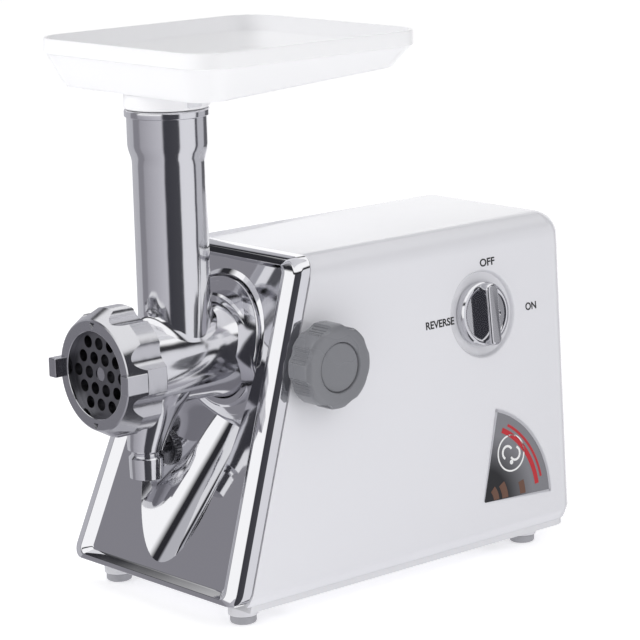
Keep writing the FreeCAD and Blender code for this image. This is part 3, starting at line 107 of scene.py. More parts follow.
def finish(name, colour, metallic=0.0, roughness=0.4, **extra):
    """A new material with its shader set: returns its node tree, shader and object coordinates."""
    material = bpy.data.materials.new(name)
    material.use_nodes = True
    tree = material.node_tree
    shader = tree.nodes["Principled BSDF"]
    shader.inputs["Base Color"].default_value = linear(colour)
    shader.inputs["Metallic"].default_value = metallic
    shader.inputs["Roughness"].default_value = roughness
    for key, value in extra.items():
        shader.inputs[key.replace("_", " ")].default_value = value
    MADE[name] = material
    return tree, shader, add_node(tree, "ShaderNodeTexCoord")


def bumps(tree, shader, height, depth_mm, strength=1.0):
    """Feeds a height (node, output) to the shader's normal as a bump that deep."""
    bump = add_node(tree, "ShaderNodeBump", Height=height, Distance=depth_mm / 1000, Strength=strength)
    tree.links.new(bump.outputs["Normal"], shader.inputs["Normal"])


def vary(tree, shader, factor, socket, low, high):
    """Lets a factor (node, output) run a shader input from low to high."""
    spread = add_node(tree, "ShaderNodeMapRange", Value=factor, To_Min=low, To_Max=high)
    tree.links.new(spread.outputs["Result"], shader.inputs[socket])


def tint(tree, shader, factor, low, high):
    """Lets a factor (node, output) run the base colour between two hex colours."""
    ramp = add_node(tree, "ShaderNodeValToRGB", Fac=factor)
    for stop, code in zip(ramp.color_ramp.elements, (low, high)):
        stop.color = linear(code)
    ramp.color_ramp.elements[0].position, ramp.color_ramp.elements[1].position = 0.3, 0.7
    tree.links.new(ramp.outputs["Color"], shader.inputs["Base Color"])


# %% [markdown]
# ## Studio
# Polished metal shows the room, so the room matters more than the lamps. The world is a tent of
# soft white boxes and dark flags in upright bands round the table; only reflections see the
# bands, while diffuse light and the backdrop are a plain soft white. Two large soft lamps give
# the white mouldings their gentle shading, and the floor is a plain pale sheet.

# %% World bands
BANDS = ((-180, "#b4b4b9"), (-116, "#b4b4b9"), (-112, "#85848a"), (-89, "#85848a"), (-85, "#ffffff"),
         (-18, "#ffffff"), (-13, "#3c3c42"), (30, "#46464b"), (34, "#dcdce0"), (80, "#dcdce0"),
         (82, "#4a4a50"), (88, "#4a4a50"), (91, "#b6b6bb"), (116, "#b6b6bb"), (120, "#5e5e62"),
         (138, "#5e5e62"), (142, "#ffffff"), (180, "#ffffff"))
CAMERA_SIDE = math.radians(-37.8)
world = bpy.data.worlds.new("studio_tent")
bpy.context.scene.world = world
world.use_nodes = True
sky = world.node_tree
sky.nodes.clear()
ray = add_node(sky, "ShaderNodeTexCoord")
turned_ray = add_node(sky, "ShaderNodeVectorRotate", {"rotation_type": "Z_AXIS"},
                      Vector=(ray, "Generated"), Angle=-CAMERA_SIDE)
parts = add_node(sky, "ShaderNodeSeparateXYZ", Vector=(turned_ray, "Vector"))
around = add_node(sky, "ShaderNodeMath", {"operation": "ARCTAN2"}, _0=(parts, "Y"), _1=(parts, "X"))
share = add_node(sky, "ShaderNodeMath", {"operation": "MULTIPLY_ADD"}, _0=(around, "Value"),
                 _1=1 / math.tau, _2=0.5)


def band_ramp(edges):
    """A colour ramp that runs once round the table."""
    ramp = add_node(sky, "ShaderNodeValToRGB", Fac=(share, "Value"))
    stops = ramp.color_ramp.elements
    for degrees, code in edges:
        place = (degrees + 180) / 360
        stop = stops[0] if degrees == -180 else stops[-1] if degrees == 180 else stops.new(place)
        stop.position = place
        stop.color = linear(code)
    return ramp


# below the edge of the table the big soft box gives way to the grey of the table's own light
LOW_BANDS = [(degrees, {-85: "#9b9aa0", -18: "#bdbcc2"}.get(degrees, code)) for degrees, code in BANDS]
level = add_node(sky, "ShaderNodeMapRange", Value=(parts, "Z"), From_Min=-0.10, From_Max=-0.02)
bands = add_node(sky, "ShaderNodeMix", {"data_type": "RGBA"}, _0=(level, "Result"),
                 _6=(band_ramp(LOW_BANDS), "Color"), _7=(band_ramp(BANDS), "Color"))
overhead = add_node(sky, "ShaderNodeMapRange", Value=(parts, "Z"), From_Min=0.50, From_Max=0.55)
flag = add_node(sky, "ShaderNodeMapRange", Value=(parts, "Z"), From_Min=0.63, From_Max=0.70)
ceiling = add_node(sky, "ShaderNodeMix", {"data_type": "RGBA"}, _0=(flag, "Result"),
                   _6=linear("#2c2c30"), _7=linear("#ffffff"))
tent = add_node(sky, "ShaderNodeMix", {"data_type": "RGBA"}, _0=(overhead, "Result"),
                _6=(bands, 2), _7=(ceiling, 2))
shade = add_node(sky, "ShaderNodeMapRange", Value=(parts, "Z"), From_Min=-0.2, From_Max=0.9,
                 To_Min=0.66, To_Max=1.06)
path = add_node(sky, "ShaderNodeLightPath")
metal_light = add_node(sky, "ShaderNodeBackground", Color=(tent, 2), Strength=1.25)
soft_light = add_node(sky, "ShaderNodeBackground", Color=(shade, "Result"), Strength=0.66)
backdrop = add_node(sky, "ShaderNodeBackground", Color=linear("#ffffff"), Strength=1.05)
first = add_node(sky, "ShaderNodeMixShader", _0=(path, "Is Glossy Ray"), _1=(soft_light, "Background"),
                 _2=(metal_light, "Background"))
second = add_node(sky, "ShaderNodeMixShader", _0=(path, "Is Camera Ray"), _1=(first, "Shader"),
                  _2=(backdrop, "Background"))
add_node(sky, "ShaderNodeOutputWorld", Surface=(second, "Shader"))
bpy.context.scene.view_settings.view_transform = "Standard"
print("tent of", len(BANDS), "band edges")


# %% Lamps and floor
def soft_lamp(name, place, size, watts):
    """A square soft box that looks at the grinder's middle."""
    data = bpy.data.lights.new(name, "AREA")
    data.size = size
    data.energy = watts
    lamp = bpy.data.objects.new(name, data)
    lamp.location = place
    lamp.rotation_euler = (Vector((0, 0, 0.16)) - Vector(place)).to_track_quat("-Z", "Y").to_euler()
    lamp.visible_glossy = False
    bpy.context.scene.collection.objects.link(lamp)
    return lamp


soft_lamp("key_box", (-1.4, -1.8, 1.6), 1.2, 24)
soft_lamp("side_box", (2.2, -0.3, 1.5), 1.4, 8)
tree, shader, spot = finish("studio_paper", "#f4f4f5", roughness=0.9)
paper = add_node(tree, "ShaderNodeTexNoise", Vector=(spot, "Object"), Scale=per_metre(3), Detail=3.0)
bumps(tree, shader, (paper, "Fac"), 0.03)
shader.inputs["Emission Color"].default_value = linear("#ffffff")
shader.inputs["Emission Strength"].default_value = 0.40
sheet = bmesh.new()
bmesh.ops.create_grid(sheet, x_segments=8, y_segments=8, size=6.0)
floor_mesh = bpy.data.meshes.new("studio_floor")
sheet.to_mesh(floor_mesh)
floor_mesh.materials.append(MADE["studio_paper"])
floor = bpy.data.objects.new("studio_floor", floor_mesh)
bpy.context.scene.collection.objects.link(floor)
floor.visible_glossy = False

# %% [markdown]
# ## White mouldings, rubber and grey plastics
# The housing and the tray are injection-moulded ABS: a glossy skin with a very faint orange peel.
# The knob is satin grey ABS, the feet are moulded rubber with a dull, slightly grainy skin.

# %% Moulded finishes
def moulded(name, colour, roughness, grain_mm, depth_mm, **extra):
    """Moulded plastic or rubber: its skin copies the fine texture of the steel mould."""
    tree, shader, spot = finish(name, colour, roughness=roughness, IOR=1.53, **extra)
    grain = add_node(tree, "ShaderNodeTexNoise", Vector=(spot, "Object"), Scale=per_metre(grain_mm), Detail=3.0)
    bumps(tree, shader, (grain, "Fac"), depth_mm)
    cloud = add_node(tree, "ShaderNodeTexNoise", Vector=(spot, "Object"), Scale=per_metre(40), Detail=2.0)
    vary(tree, shader, (cloud, "Fac"), "Roughness", roughness * 0.85, roughness * 1.15)
    return MADE[name]


moulded("white_abs_glossy", "#e7e7ec", 0.22, 1.8, 0.012, Coat_Weight=0.25, Coat_Roughness=0.08)
moulded("white_abs_tray", "#f8f8fa", 0.30, 1.6, 0.012, Subsurface_Weight=0.08, Subsurface_Radius=(0.004, 0.004, 0.004))
moulded("white_abs_base", "#e4e4e8", 0.42, 0.9, 0.02)
moulded("grey_abs_satin", "#7d7e83", 0.28, 0.7, 0.012)
moulded("grey_rubber_moulded", "#a9a9ae", 0.62, 0.5, 0.03)
moulded("black_nylon_moulded", "#1b1b1d", 0.45, 0.6, 0.02)
moulded("white_nylon_gear", "#dcd9cc", 0.38, 0.8, 0.015, Subsurface_Weight=0.1, Subsurface_Radius=(0.003, 0.003, 0.002))
moulded("grey_glass_filled_nylon", "#4d5055", 0.5, 0.6, 0.03)
moulded("black_switch_print", "#141416", 0.4, 0.4, 0.004)
moulded("white_print_ink", "#f2f2f2", 0.35, 0.4, 0.004)
moulded("red_print_ink", "#c0222c", 0.32, 0.4, 0.004)
moulded("brown_print_ink", "#6b4a3a", 0.35, 0.4, 0.004)
print(len(MADE), "finishes so far")

# %% [markdown]
# ## Metals
# Chromium on ABS is a mirror with the faint waviness of the moulding under it. The head is cast
# aluminium that was polished, so its mirror is softer. Turned and ground pieces carry fine rings
# or scratches. All keep the default IOR; colour and roughness do the work.

# %% Metal finishes
def bright_metal(name, colour, roughness, wave_mm, wave_depth_mm, scratch_mm=0.6, spread=0.35, stretch=(1, 1, 1)):
    """A metal surface with long waves from forming and a fine stretched grain from polishing."""
    tree, shader, spot = finish(name, colour, metallic=1.0, roughness=roughness)
    long_wave = add_node(tree, "ShaderNodeTexNoise", Vector=(spot, "Object"), Scale=per_metre(wave_mm), Detail=1.0)
    bumps(tree, shader, (long_wave, "Fac"), wave_depth_mm)
    pull = add_node(tree, "ShaderNodeMapping", Vector=(spot, "Object"), Scale=stretch)
    grain = add_node(tree, "ShaderNodeTexNoise", Vector=(pull, "Vector"), Scale=per_metre(scratch_mm), Detail=4.0)
    vary(tree, shader, (grain, "Fac"), "Roughness", roughness * (1 - spread), roughness * (1 + spread))
    return tree, shader, spot


bright_metal("chromium_plated_abs", "#dcdcdf", 0.045, 45, 0.10)
bright_metal("chromium_plated_ring", "#d6d6da", 0.07, 20, 0.08)
bright_metal("aluminium_cast_polished", "#dddde0", 0.11, 14, 0.10)
bright_metal("aluminium_cast_tumbled", "#c6c6ca", 0.17, 9, 0.10)
bright_metal("steel_knurled", "#8d8d91", 0.28, 6, 0.05)
bright_metal("steel_ground", "#b5b5b8", 0.25, 10, 0.02, 0.3, stretch=(1, 8, 1))
bright_metal("steel_zinc_plated", "#b9babb", 0.3, 8, 0.03)
bright_metal("steel_gear_cut", "#8b8c8f", 0.34, 5, 0.03)
bright_metal("zinc_bracket_pressed", "#a7a9ab", 0.42, 7, 0.05)
bright_metal("bronze_sintered", "#a9814f", 0.4, 1.2, 0.05)
bright_metal("dial_chromium", "#d9d9dc", 0.10, 30, 0.04, 0.6, 0.02)
bright_metal("badge_rim_silvered", "#e2e2e5", 0.5, 8, 0.03)


def ringed_metal(name, colour, roughness, ring_mm, depth_mm):
    """Metal faced on a lathe about the Y axis: fine rings round the grinder's axis."""
    tree, shader, spot = finish(name, colour, metallic=1.0, roughness=roughness)
    centred = add_node(tree, "ShaderNodeMapping", Vector=(spot, "Object"), Location=(0, 0, -0.141))
    rings = add_node(tree, "ShaderNodeTexWave", {"wave_type": "RINGS", "rings_direction": "Y"},
                     Vector=(centred, "Vector"), Scale=per_metre(ring_mm) / 20, Distortion=0.6, Detail=2.0)
    bumps(tree, shader, (rings, "Fac"), depth_mm)
    vary(tree, shader, (rings, "Fac"), "Roughness", roughness * 0.8, roughness * 1.2)


ringed_metal("steel_plate_faced", "#77777b", 0.36, 0.9, 0.015)


def layered(name, colours, metallic, roughness, pitch_mm, direction):
    """Stacked sheets or wound wire: even lines that far apart."""
    tree, shader, spot = finish(name, colours[1], metallic=metallic, roughness=roughness)
    lines = add_node(tree, "ShaderNodeTexWave", {"bands_direction": direction}, Vector=(spot, "Object"),
                     Scale=per_metre(pitch_mm) / 20, Distortion=0.4, Detail=1.0)
    tint(tree, shader, (lines, "Fac"), *colours)
    bumps(tree, shader, (lines, "Fac"), 0.1)


layered("steel_laminations_stacked", ("#4b4c50", "#85878b"), 1.0, 0.45, 1.0, "Y")
layered("copper_wire_wound", ("#6e3517", "#b8703c"), 1.0, 0.32, 1.2, "Z")
tree, shader, spot = finish("carbon_brush_pressed", "#2a2a2c", roughness=0.7)
grit = add_node(tree, "ShaderNodeTexNoise", Vector=(spot, "Object"), Scale=per_metre(0.5), Detail=4.0)
tint(tree, shader, (grit, "Fac"), "#1d1d1f", "#3c3c40")
bumps(tree, shader, (grit, "Fac"), 0.05)
print(len(MADE), "finishes in all")

# %% [markdown]
# ## Mesh helpers
# Each piece is worked in millimetres in a bmesh, then scaled to metres and smoothed: edges
# sharper than a set angle stay crisp and flat faces keep their own normals.

# %% Mesh helpers
AXIS_Z = 141.0
MM = Matrix.Scale(0.001, 4)


def rounded_edges(bm, edges, offset, segments=4):
    """Bevels the edges to a soft round."""
    bmesh.ops.bevel(bm, geom=list(edges), offset=offset, offset_type="OFFSET", segments=segments,
                    profile=0.5, affect="EDGES", material=-1, clamp_overlap=True)


def turned(profile, steps=96, soft=()):
    """Spins a closed section of (radius, along Z) points round Z.

    soft names rings to round off: (point number, offset, segments).
    """
    bm = bmesh.new()
    verts = [bm.verts.new((r, 0, z)) for r, z in profile]
    edges = [bm.edges.new((a, b)) for a, b in zip(verts, verts[1:] + verts[:1])]
    bmesh.ops.spin(bm, geom=verts + edges, cent=(0, 0, 0), axis=(0, 0, 1), dvec=(0, 0, 0),
                   angle=math.tau, steps=steps, use_merge=True, use_duplicate=False)
    bmesh.ops.remove_doubles(bm, verts=bm.verts, dist=1e-4)
    bmesh.ops.dissolve_degenerate(bm, dist=1e-4, edges=bm.edges)
    bmesh.ops.recalc_face_normals(bm, faces=bm.faces)
    for index, offset, segments in soft:
        r, z = profile[index]
        ring = [e for e in bm.edges if all(abs(math.hypot(v.co.x, v.co.y) - r) < 1e-3
                                           and abs(v.co.z - z) < 1e-3 for v in e.verts)]
        rounded_edges(bm, ring, offset, segments)
    return bm


def put(bm, axis="Z", place=(0, 0, 0)):
    """Turns a piece made along Z to lie along Y or X and moves it to its place."""
    turn = {"Z": Matrix(), "Y": Matrix.Rotation(-math.pi / 2, 4, "X"),
            "X": Matrix.Rotation(math.pi / 2, 4, "Y")}[axis]
    bmesh.ops.transform(bm, matrix=Matrix.Translation(place) @ turn, verts=bm.verts)
    return bm


def join(target, other):
    """Adds another bmesh to the first."""
    mesh = bpy.data.meshes.new("joined_part")
    other.to_mesh(mesh)
    other.free()
    target.from_mesh(mesh)
    bpy.data.meshes.remove(mesh)
    return target


def applied(bm, kind, tool_bm=None, **settings):
    """Runs one modifier on a bmesh, with a second bmesh as its tool if it needs one."""
    objects = []
    for name, source in (("worked_base", bm), ("worked_tool", tool_bm)):
        if source is None:
            continue
        mesh = bpy.data.meshes.new(name)
        source.to_mesh(mesh)
        source.free()
        thing = bpy.data.objects.new(name, mesh)
        bpy.context.scene.collection.objects.link(thing)
        objects.append(thing)
    modifier = objects[0].modifiers.new("work", kind)
    for key, value in settings.items():
        setattr(modifier, key, value)
    if tool_bm is not None:
        modifier.object = objects[1]
    seen = objects[0].evaluated_get(bpy.context.evaluated_depsgraph_get())
    result = bmesh.new()
    result.from_mesh(bpy.data.meshes.new_from_object(seen))
    for thing in objects:
        bpy.data.objects.remove(thing)
    return result


def walled(bm, thickness):
    """Gives a skin its wall, inwards."""
    return applied(bm, "SOLIDIFY", thickness=thickness, offset=-1.0, use_even_offset=False)


def cut_from(bm, plug, how="DIFFERENCE"):
    """Cuts a closed plug out of a closed bmesh, or with UNION adds it, by Blender's exact boolean."""
    return applied(bm, "BOOLEAN", plug, operation=how, solver="EXACT")


def piece(name, bm, material, body, stands_for=(), sharp=32, weighted=True, ready=False):
    """Makes the object, scales it to metres, smooths it and hangs it on its body."""
    if not ready:
        bmesh.ops.transform(bm, matrix=MM, verts=bm.verts)
    mesh = bpy.data.meshes.new(name)
    bm.to_mesh(mesh)
    bm.free()
    mesh.materials.append(MADE[material])
    for face in mesh.polygons:
        face.use_smooth = True
    mesh.set_sharp_from_angle(angle=math.radians(sharp))
    thing = bpy.data.objects.new(name, mesh)
    bpy.context.scene.collection.objects.link(thing)
    if weighted:
        thing.modifiers.new("flat_faces", "WEIGHTED_NORMAL").keep_sharp = True
    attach(thing, body)
    if stands_for:
        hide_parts(*stands_for)
    print(name, len(mesh.polygons), "faces")
    return thing


def ring_of(bm, corners, radius, segments=5, place=None):
    """A flat outline with rounded corners; returns its edges after place() moved its points."""
    verts = [bm.verts.new((x, 0, z)) for x, z in corners]
    face = bm.faces.new(verts)
    before = set(bm.verts) - set(verts)
    bmesh.ops.bevel(bm, geom=verts, offset=radius, offset_type="OFFSET", segments=segments, profile=0.5,
                    affect="VERTICES", material=-1, clamp_overlap=True)
    mine = [v for v in bm.verts if v not in before]
    edges = [e for e in bm.edges if e.verts[0] in mine and e.verts[1] in mine]
    bmesh.ops.delete(bm, geom=[f for f in bm.faces if all(v in mine for v in f.verts)], context="FACES_ONLY")
    if place:
        for v in mine:
            v.co = place(v.co)
    return edges


def through(bm, loops):
    """Bridges a row of edge loops one after the other."""
    for one, other in zip(loops, loops[1:]):
        bmesh.ops.bridge_loops(bm, edges=one + other)


# %% [markdown]
# ## Housing shell
# The housing is one deep moulding, open at the front and below. A block gets its draft by moving
# its corners, the long edges are rounded, the open faces are removed and the wall gets its
# thickness. The dish for the dial is cut with a turned plug whose rim flares, which leaves the
# soft lip of a moulded dish.

# %% Housing proportions
BASE_Z, TOP_Z = 14.0, 199.0
SEAM = 9.6


def share_up(z):
    return (z - BASE_Z) / (TOP_Z - BASE_Z)


def half_width(z):
    return 77.3 + (58.7 - 77.3) * share_up(z)


def front_y(z):
    return -130.6 + (-61.3 + 130.6) * share_up(z)


def rear_y(z):
    return 138.7 + (149.1 - 138.7) * share_up(z)


DRAFT = math.atan2(77.3 - 58.7, TOP_Z - BASE_Z)


def on_side(y, z, depth=0.0):
    """A matrix on the +X wall: local Z points outwards, local X to +Y, local Y up."""
    normal = Vector((math.cos(DRAFT), 0, math.sin(DRAFT)))
    upward = Vector((-math.sin(DRAFT), 0, math.cos(DRAFT)))
    turn = Matrix((Vector((0, 1, 0)), upward, normal)).transposed().to_4x4()
    return Matrix.Translation(Vector((half_width(z), y, z)) + normal * depth) @ turn


# %% Housing shell
shell = bmesh.new()
bmesh.ops.create_cube(shell, size=2)
for v in shell.verts:
    z = TOP_Z if v.co.z > 0 else BASE_Z
    v.co = (math.copysign(half_width(z), v.co.x), rear_y(z) if v.co.y > 0 else front_y(z) + SEAM, z)


def soft_shell_edge(edge):
    a, b = (v.co for v in edge.verts)
    high = a.z > 190 and b.z > 190
    return (high and not (a.y < 0 and b.y < 0)) or (abs(a.z - b.z) > 100 and a.y > 0)


rounded_edges(shell, [e for e in shell.edges if soft_shell_edge(e)], 14.8, 8)
bmesh.ops.delete(shell, context="FACES", geom=[
    f for f in shell.faces if f.normal.z < -0.9 or f.normal.y < -0.7])
for level in (21.0, 19.0, 16.5):
    bmesh.ops.bisect_plane(shell, geom=shell.verts[:] + shell.edges[:] + shell.faces[:], dist=1e-4,
                           plane_co=(0, 0, level), plane_no=(0, 0, 1))
for v in shell.verts:
    for level, pull in ((19.0, 0.5), (16.5, 1.5), (14.0, 3.2)):
        if abs(v.co.z - level) < 0.01:
            v.co.x *= 1 - pull / 77
            v.co.y -= pull if v.co.y > 130 else 0
for x in (-50, -46, -42, 42, 46, 50):
    bmesh.ops.bisect_plane(shell, geom=[g for g in shell.verts[:] + shell.edges[:] + shell.faces[:]],
                           dist=1e-4, plane_co=(x, 0, 0), plane_no=(1, 0, 0))
for y in range(-40, 110, 15):
    bmesh.ops.bisect_plane(shell, geom=[g for g in shell.verts[:] + shell.edges[:] + shell.faces[:]],
                           dist=1e-4, plane_co=(0, y, 0), plane_no=(0, 1, 0))
for v in shell.verts:
    if v.co.z > 198.9 and abs(v.co.x) < 47 and v.co.y < 98:
        fall = 2.0 * (1 - (v.co.y + 52) / 150)
        v.co.z -= max(0.0, fall) * (1.0 if abs(v.co.x) < 44 else 0.5)
bmesh.ops.remove_doubles(shell, verts=shell.verts, dist=1e-3)
bmesh.ops.recalc_face_normals(shell, faces=shell.faces)
up = [f for f in shell.faces if f.calc_center_median().z > 195]
if sum(f.normal.z for f in up) < 0:
    bmesh.ops.reverse_faces(shell, faces=shell.faces)
shell = walled(shell, 2.5)
print("shell", len(shell.faces), "faces before its openings")


# %% Cutting the dish and the stud's hole
dish = turned([(0, -3), (23.0, -3), (24.6, -2.4), (25.1, -1.4), (25.5, -0.6), (26.0, -0.15), (26.7, 0.05),
               (26.7, 6), (0, 6)], 96)
bmesh.ops.transform(dish, matrix=on_side(73.2, 147.6), verts=dish.verts)
pad = turned([(0, -5.4), (28.5, -5.4), (28.5, -2.0), (0, -2.0)], 64)
bmesh.ops.transform(pad, matrix=on_side(73.2, 147.6), verts=pad.verts)
shell = cut_from(cut_from(shell, pad, "UNION"), dish)
stud_hole = put(turned([(0, 0), (4.3, 0), (4.3, 30), (0, 30)], 32), "X", (50, -60.2, 141.5))
shell = cut_from(shell, stud_hole)
piece("housing_shell_moulding", shell, "white_abs_glossy", "housing", ["housing_shell"], sharp=28)

# %% [markdown]
# ## Front fascia
# The front is a plated moulding: a raised frame with a soft outer edge, a flat panel sunk in it
# and a round channel for the bowl. The frame's section is a row of rounded outlines, each a
# little further in, bridged one to the next. It is worked upright and then sheared to its lean.

# %% Fascia
LEAN = (-61.3 + 130.6) / (TOP_Z - BASE_Z)
PANEL_RISE = 8.0
# (in from the side, forward of the seam, corner radius): seam, side face, edge round, facet, crest, panel
FRAME_SECTION = ((1.5, 0.0, 9.0), (0.6, 0.3, 9.0), (0.1, 1.0, 9.0), (0.0, 1.6, 9.0), (0.45, 6.2, 9.0),
                 (0.8, 7.0, 8.8), (1.5, 8.3, 8.5), (2.3, 9.4, 8.2), (3.2, 10.3, 7.8), (4.0, 10.8, 7.4),
                 (9.2, 12.1, 5.0), (9.9, 12.1, 4.6), (10.6, 11.8, 4.2), (14.6, 8.9, 2.8), (15.4, 8.2, 2.4),
                 (16.2, PANEL_RISE, 2.0))
FRAME_DEPTH = SEAM


def frame_outline(inset):
    """Corners of the front's outline, so far in from its sides; the top and bottom bars are narrower."""
    low, high = BASE_Z + inset * 7 / 15, TOP_Z - inset * 7 / 15
    return [(-half_width(low) + inset, low), (half_width(low) - inset, low),
            (half_width(high) - inset, high), (-half_width(high) + inset, high)]


def upright_front(forward):
    """Points of the upright front: the seam lies at the fascia's rear."""
    return lambda co: Vector((co.x, -130.6 + FRAME_DEPTH - forward, co.z))


fascia = bmesh.new()
loops = [ring_of(fascia, frame_outline(inset), radius, 6, upright_front(forward))
         for inset, forward, radius in FRAME_SECTION]
through(fascia, loops)
hole = bmesh.ops.create_circle(fascia, cap_ends=False, radius=42.0, segments=96)["verts"]
for v in hole:
    drop = 2.745 if v.co.y < 0 else 1.0
    v.co = (v.co.x, -130.6 + FRAME_DEPTH - PANEL_RISE, AXIS_Z + v.co.y * drop)
hole_edges = list({e for v in hole for e in v.link_edges})
bmesh.ops.triangle_fill(fascia, edges=loops[-1] + hole_edges, use_beauty=True, use_dissolve=False, normal=(0, -1, 0))
shear = Matrix(((1, 0, 0, 0), (0, 1, LEAN, -LEAN * BASE_Z), (0, 0, 1, 0), (0, 0, 0, 1)))
bmesh.ops.transform(fascia, matrix=shear, verts=fascia.verts)
wall = bmesh.ops.extrude_edge_only(fascia, edges=hole_edges)["geom"]
TILT = math.radians(40)
for v in (g for g in wall if isinstance(g, bmesh.types.BMVert)):
    v.co += Vector((0, math.sin(TILT), math.cos(TILT))) * 110
wall_faces = [g for g in wall if isinstance(g, bmesh.types.BMFace)]
near = {v for f in wall_faces for v in f.verts} | {e for f in wall_faces for e in f.edges}
bmesh.ops.bisect_plane(fascia, geom=list(near) + wall_faces, dist=1e-4, plane_co=(0, -60.5, 0),
                       plane_no=(0, 1, 0), clear_outer=True)
back_edges = [e for e in fascia.edges if e.is_boundary and all(abs(v.co.y + 60.5) < 0.01 for v in e.verts)]
bmesh.ops.triangle_fill(fascia, edges=back_edges, use_beauty=True, use_dissolve=False, normal=(0, -1, 0))
bmesh.ops.remove_doubles(fascia, verts=fascia.verts, dist=1e-4)
bmesh.ops.recalc_face_normals(fascia, faces=fascia.faces)
panel = max(fascia.faces, key=lambda f: f.calc_area())
if panel.normal.y > 0:
    bmesh.ops.reverse_faces(fascia, faces=fascia.faces)
lip = [e for e in fascia.edges if len(e.link_faces) == 2 and e.calc_face_angle(0) > 0.12
       and all(abs(v.co.y - (front_y(v.co.z) + FRAME_DEPTH - PANEL_RISE)) < 0.02 for v in e.verts)
       and all(abs(v.co.x) < 43 for v in e.verts)]
rounded_edges(fascia, lip, 1.6, 4)
fascia = walled(fascia, 1.6)
piece("front_fascia_plated", fascia, "chromium_plated_abs", "housing", ["front_fascia"], sharp=30)

# %% [markdown]
# ## Hub collar
# A plated collar grips the head's flange. Its parts are turned: an outer ring whose upper lip is
# trimmed parallel to the leaning front, a stepped band with small raised marks that show the
# locked and open positions, and a nose with a dark gap before the head's own flange.

# %% Hub collar
hub = put(turned([(28.0, 27.5), (31.6, 27.5), (33.2, 26.0), (33.2, 21.2), (34.4, 20.4), (38.6, 19.4), (39.3, 19.0),
                  (41.7, 19.0), (41.7, 0), (28.0, 0)],
                 128, soft=((0, 0.6, 3), (1, 0.5, 3), (6, 0.6, 3))), "Y", (0, 0, 0))
bmesh.ops.transform(hub, matrix=Matrix.Translation((0, -50, AXIS_Z)) @ Matrix.Scale(-1, 4, (0, 1, 0)), verts=hub.verts)
bmesh.ops.recalc_face_normals(hub, faces=hub.faces)
lip_ring = put(turned([(39.3, 0), (41.7, 0), (41.7, 90), (39.3, 90)], 128), "Y", (0, -140, AXIS_Z))
plane_no = Vector((0, -1, LEAN)).normalized()
cut_geom = lip_ring.verts[:] + lip_ring.edges[:] + lip_ring.faces[:]
bmesh.ops.bisect_plane(lip_ring, geom=cut_geom, dist=1e-4, plane_co=(0, front_y(AXIS_Z) - 1.5, AXIS_Z),
                       plane_no=plane_no, clear_outer=True)
cut_geom = lip_ring.verts[:] + lip_ring.edges[:] + lip_ring.faces[:]
bmesh.ops.bisect_plane(lip_ring, geom=cut_geom, dist=1e-4, plane_co=(0, front_y(AXIS_Z) - 1.5, AXIS_Z),
                       plane_no=Vector((0, -1, -0.38)).normalized(), clear_outer=True)
open_edges = [e for e in lip_ring.edges if e.is_boundary]
bmesh.ops.holes_fill(lip_ring, edges=open_edges, sides=0)
lip_front = [e for e in lip_ring.edges if len(e.link_faces) == 2 and e.calc_face_angle(0) > 1.0
             and min(v.co.y for v in e.verts) < -66]
rounded_edges(lip_ring, lip_front, 0.7, 3)
join(hub, lip_ring)
for degrees in (20, 27, 34, 52, 60, 68, 100, 110):
    mark = bmesh.new()
    bmesh.ops.create_cube(mark, size=1)
    bmesh.ops.scale(mark, vec=(3.6 if degrees % 2 else 2.2, 0.8, 2.0), verts=mark.verts)
    rounded_edges(mark, mark.edges, 0.25, 2)
    a = math.radians(degrees)
    place = Matrix.Translation((36.4 * math.cos(a), -70.2, AXIS_Z + 36.4 * math.sin(a)))
    bmesh.ops.transform(mark, matrix=place @ Matrix.Rotation(math.pi / 2 - a, 4, "Y"), verts=mark.verts)
    join(hub, mark)
piece("hub_collar_plated", hub, "chromium_plated_ring", "housing", ["hub_collar"], sharp=35)

# %% [markdown]
# ## Grinder head
# The head is one aluminium casting: a barrel, an upright feed tube with a rolled rim, a flange at
# the rear and a leaning post underneath. Barrel, tube and post are turned as closed shells that
# overlap, and skirts flare out from the tube and the post until they lie on the barrel, as the
# fillets of the casting do.

# %% Head
BARREL_R, TUBE_Y = 25.0, -106.0
head = turned([(27.3, 0), (29.5, 0), (29.5, 15.4), (27.5, 16.6), (BARREL_R, 17.4), (BARREL_R, 66.0), (25.4, 72.0),
               (26.4, 77.0), (27.6, 80.5), (28.6, 83.0), (28.6, 85.0), (27.7, 85.0), (27.7, 103.0), (10.2, 103.0),
               (10.2, 76.0), (8.1, 76.0), (8.1, 66.0), (22.3, 66.0), (22.3, 2.9), (27.3, 2.9)], 128,
              soft=((1, 0.6, 3), (9, 0.5, 2), (10, 0.5, 2), (17, 1.2, 3)))
put(head, "Y", (0, -157.0, AXIS_Z))


def skirt_drop(x, blend):
    """Height on the barrel under a point at distance x from its crown, with the blend's rise."""
    return AXIS_Z + math.sqrt(max(BARREL_R ** 2 - x * x, 0.0)) + blend


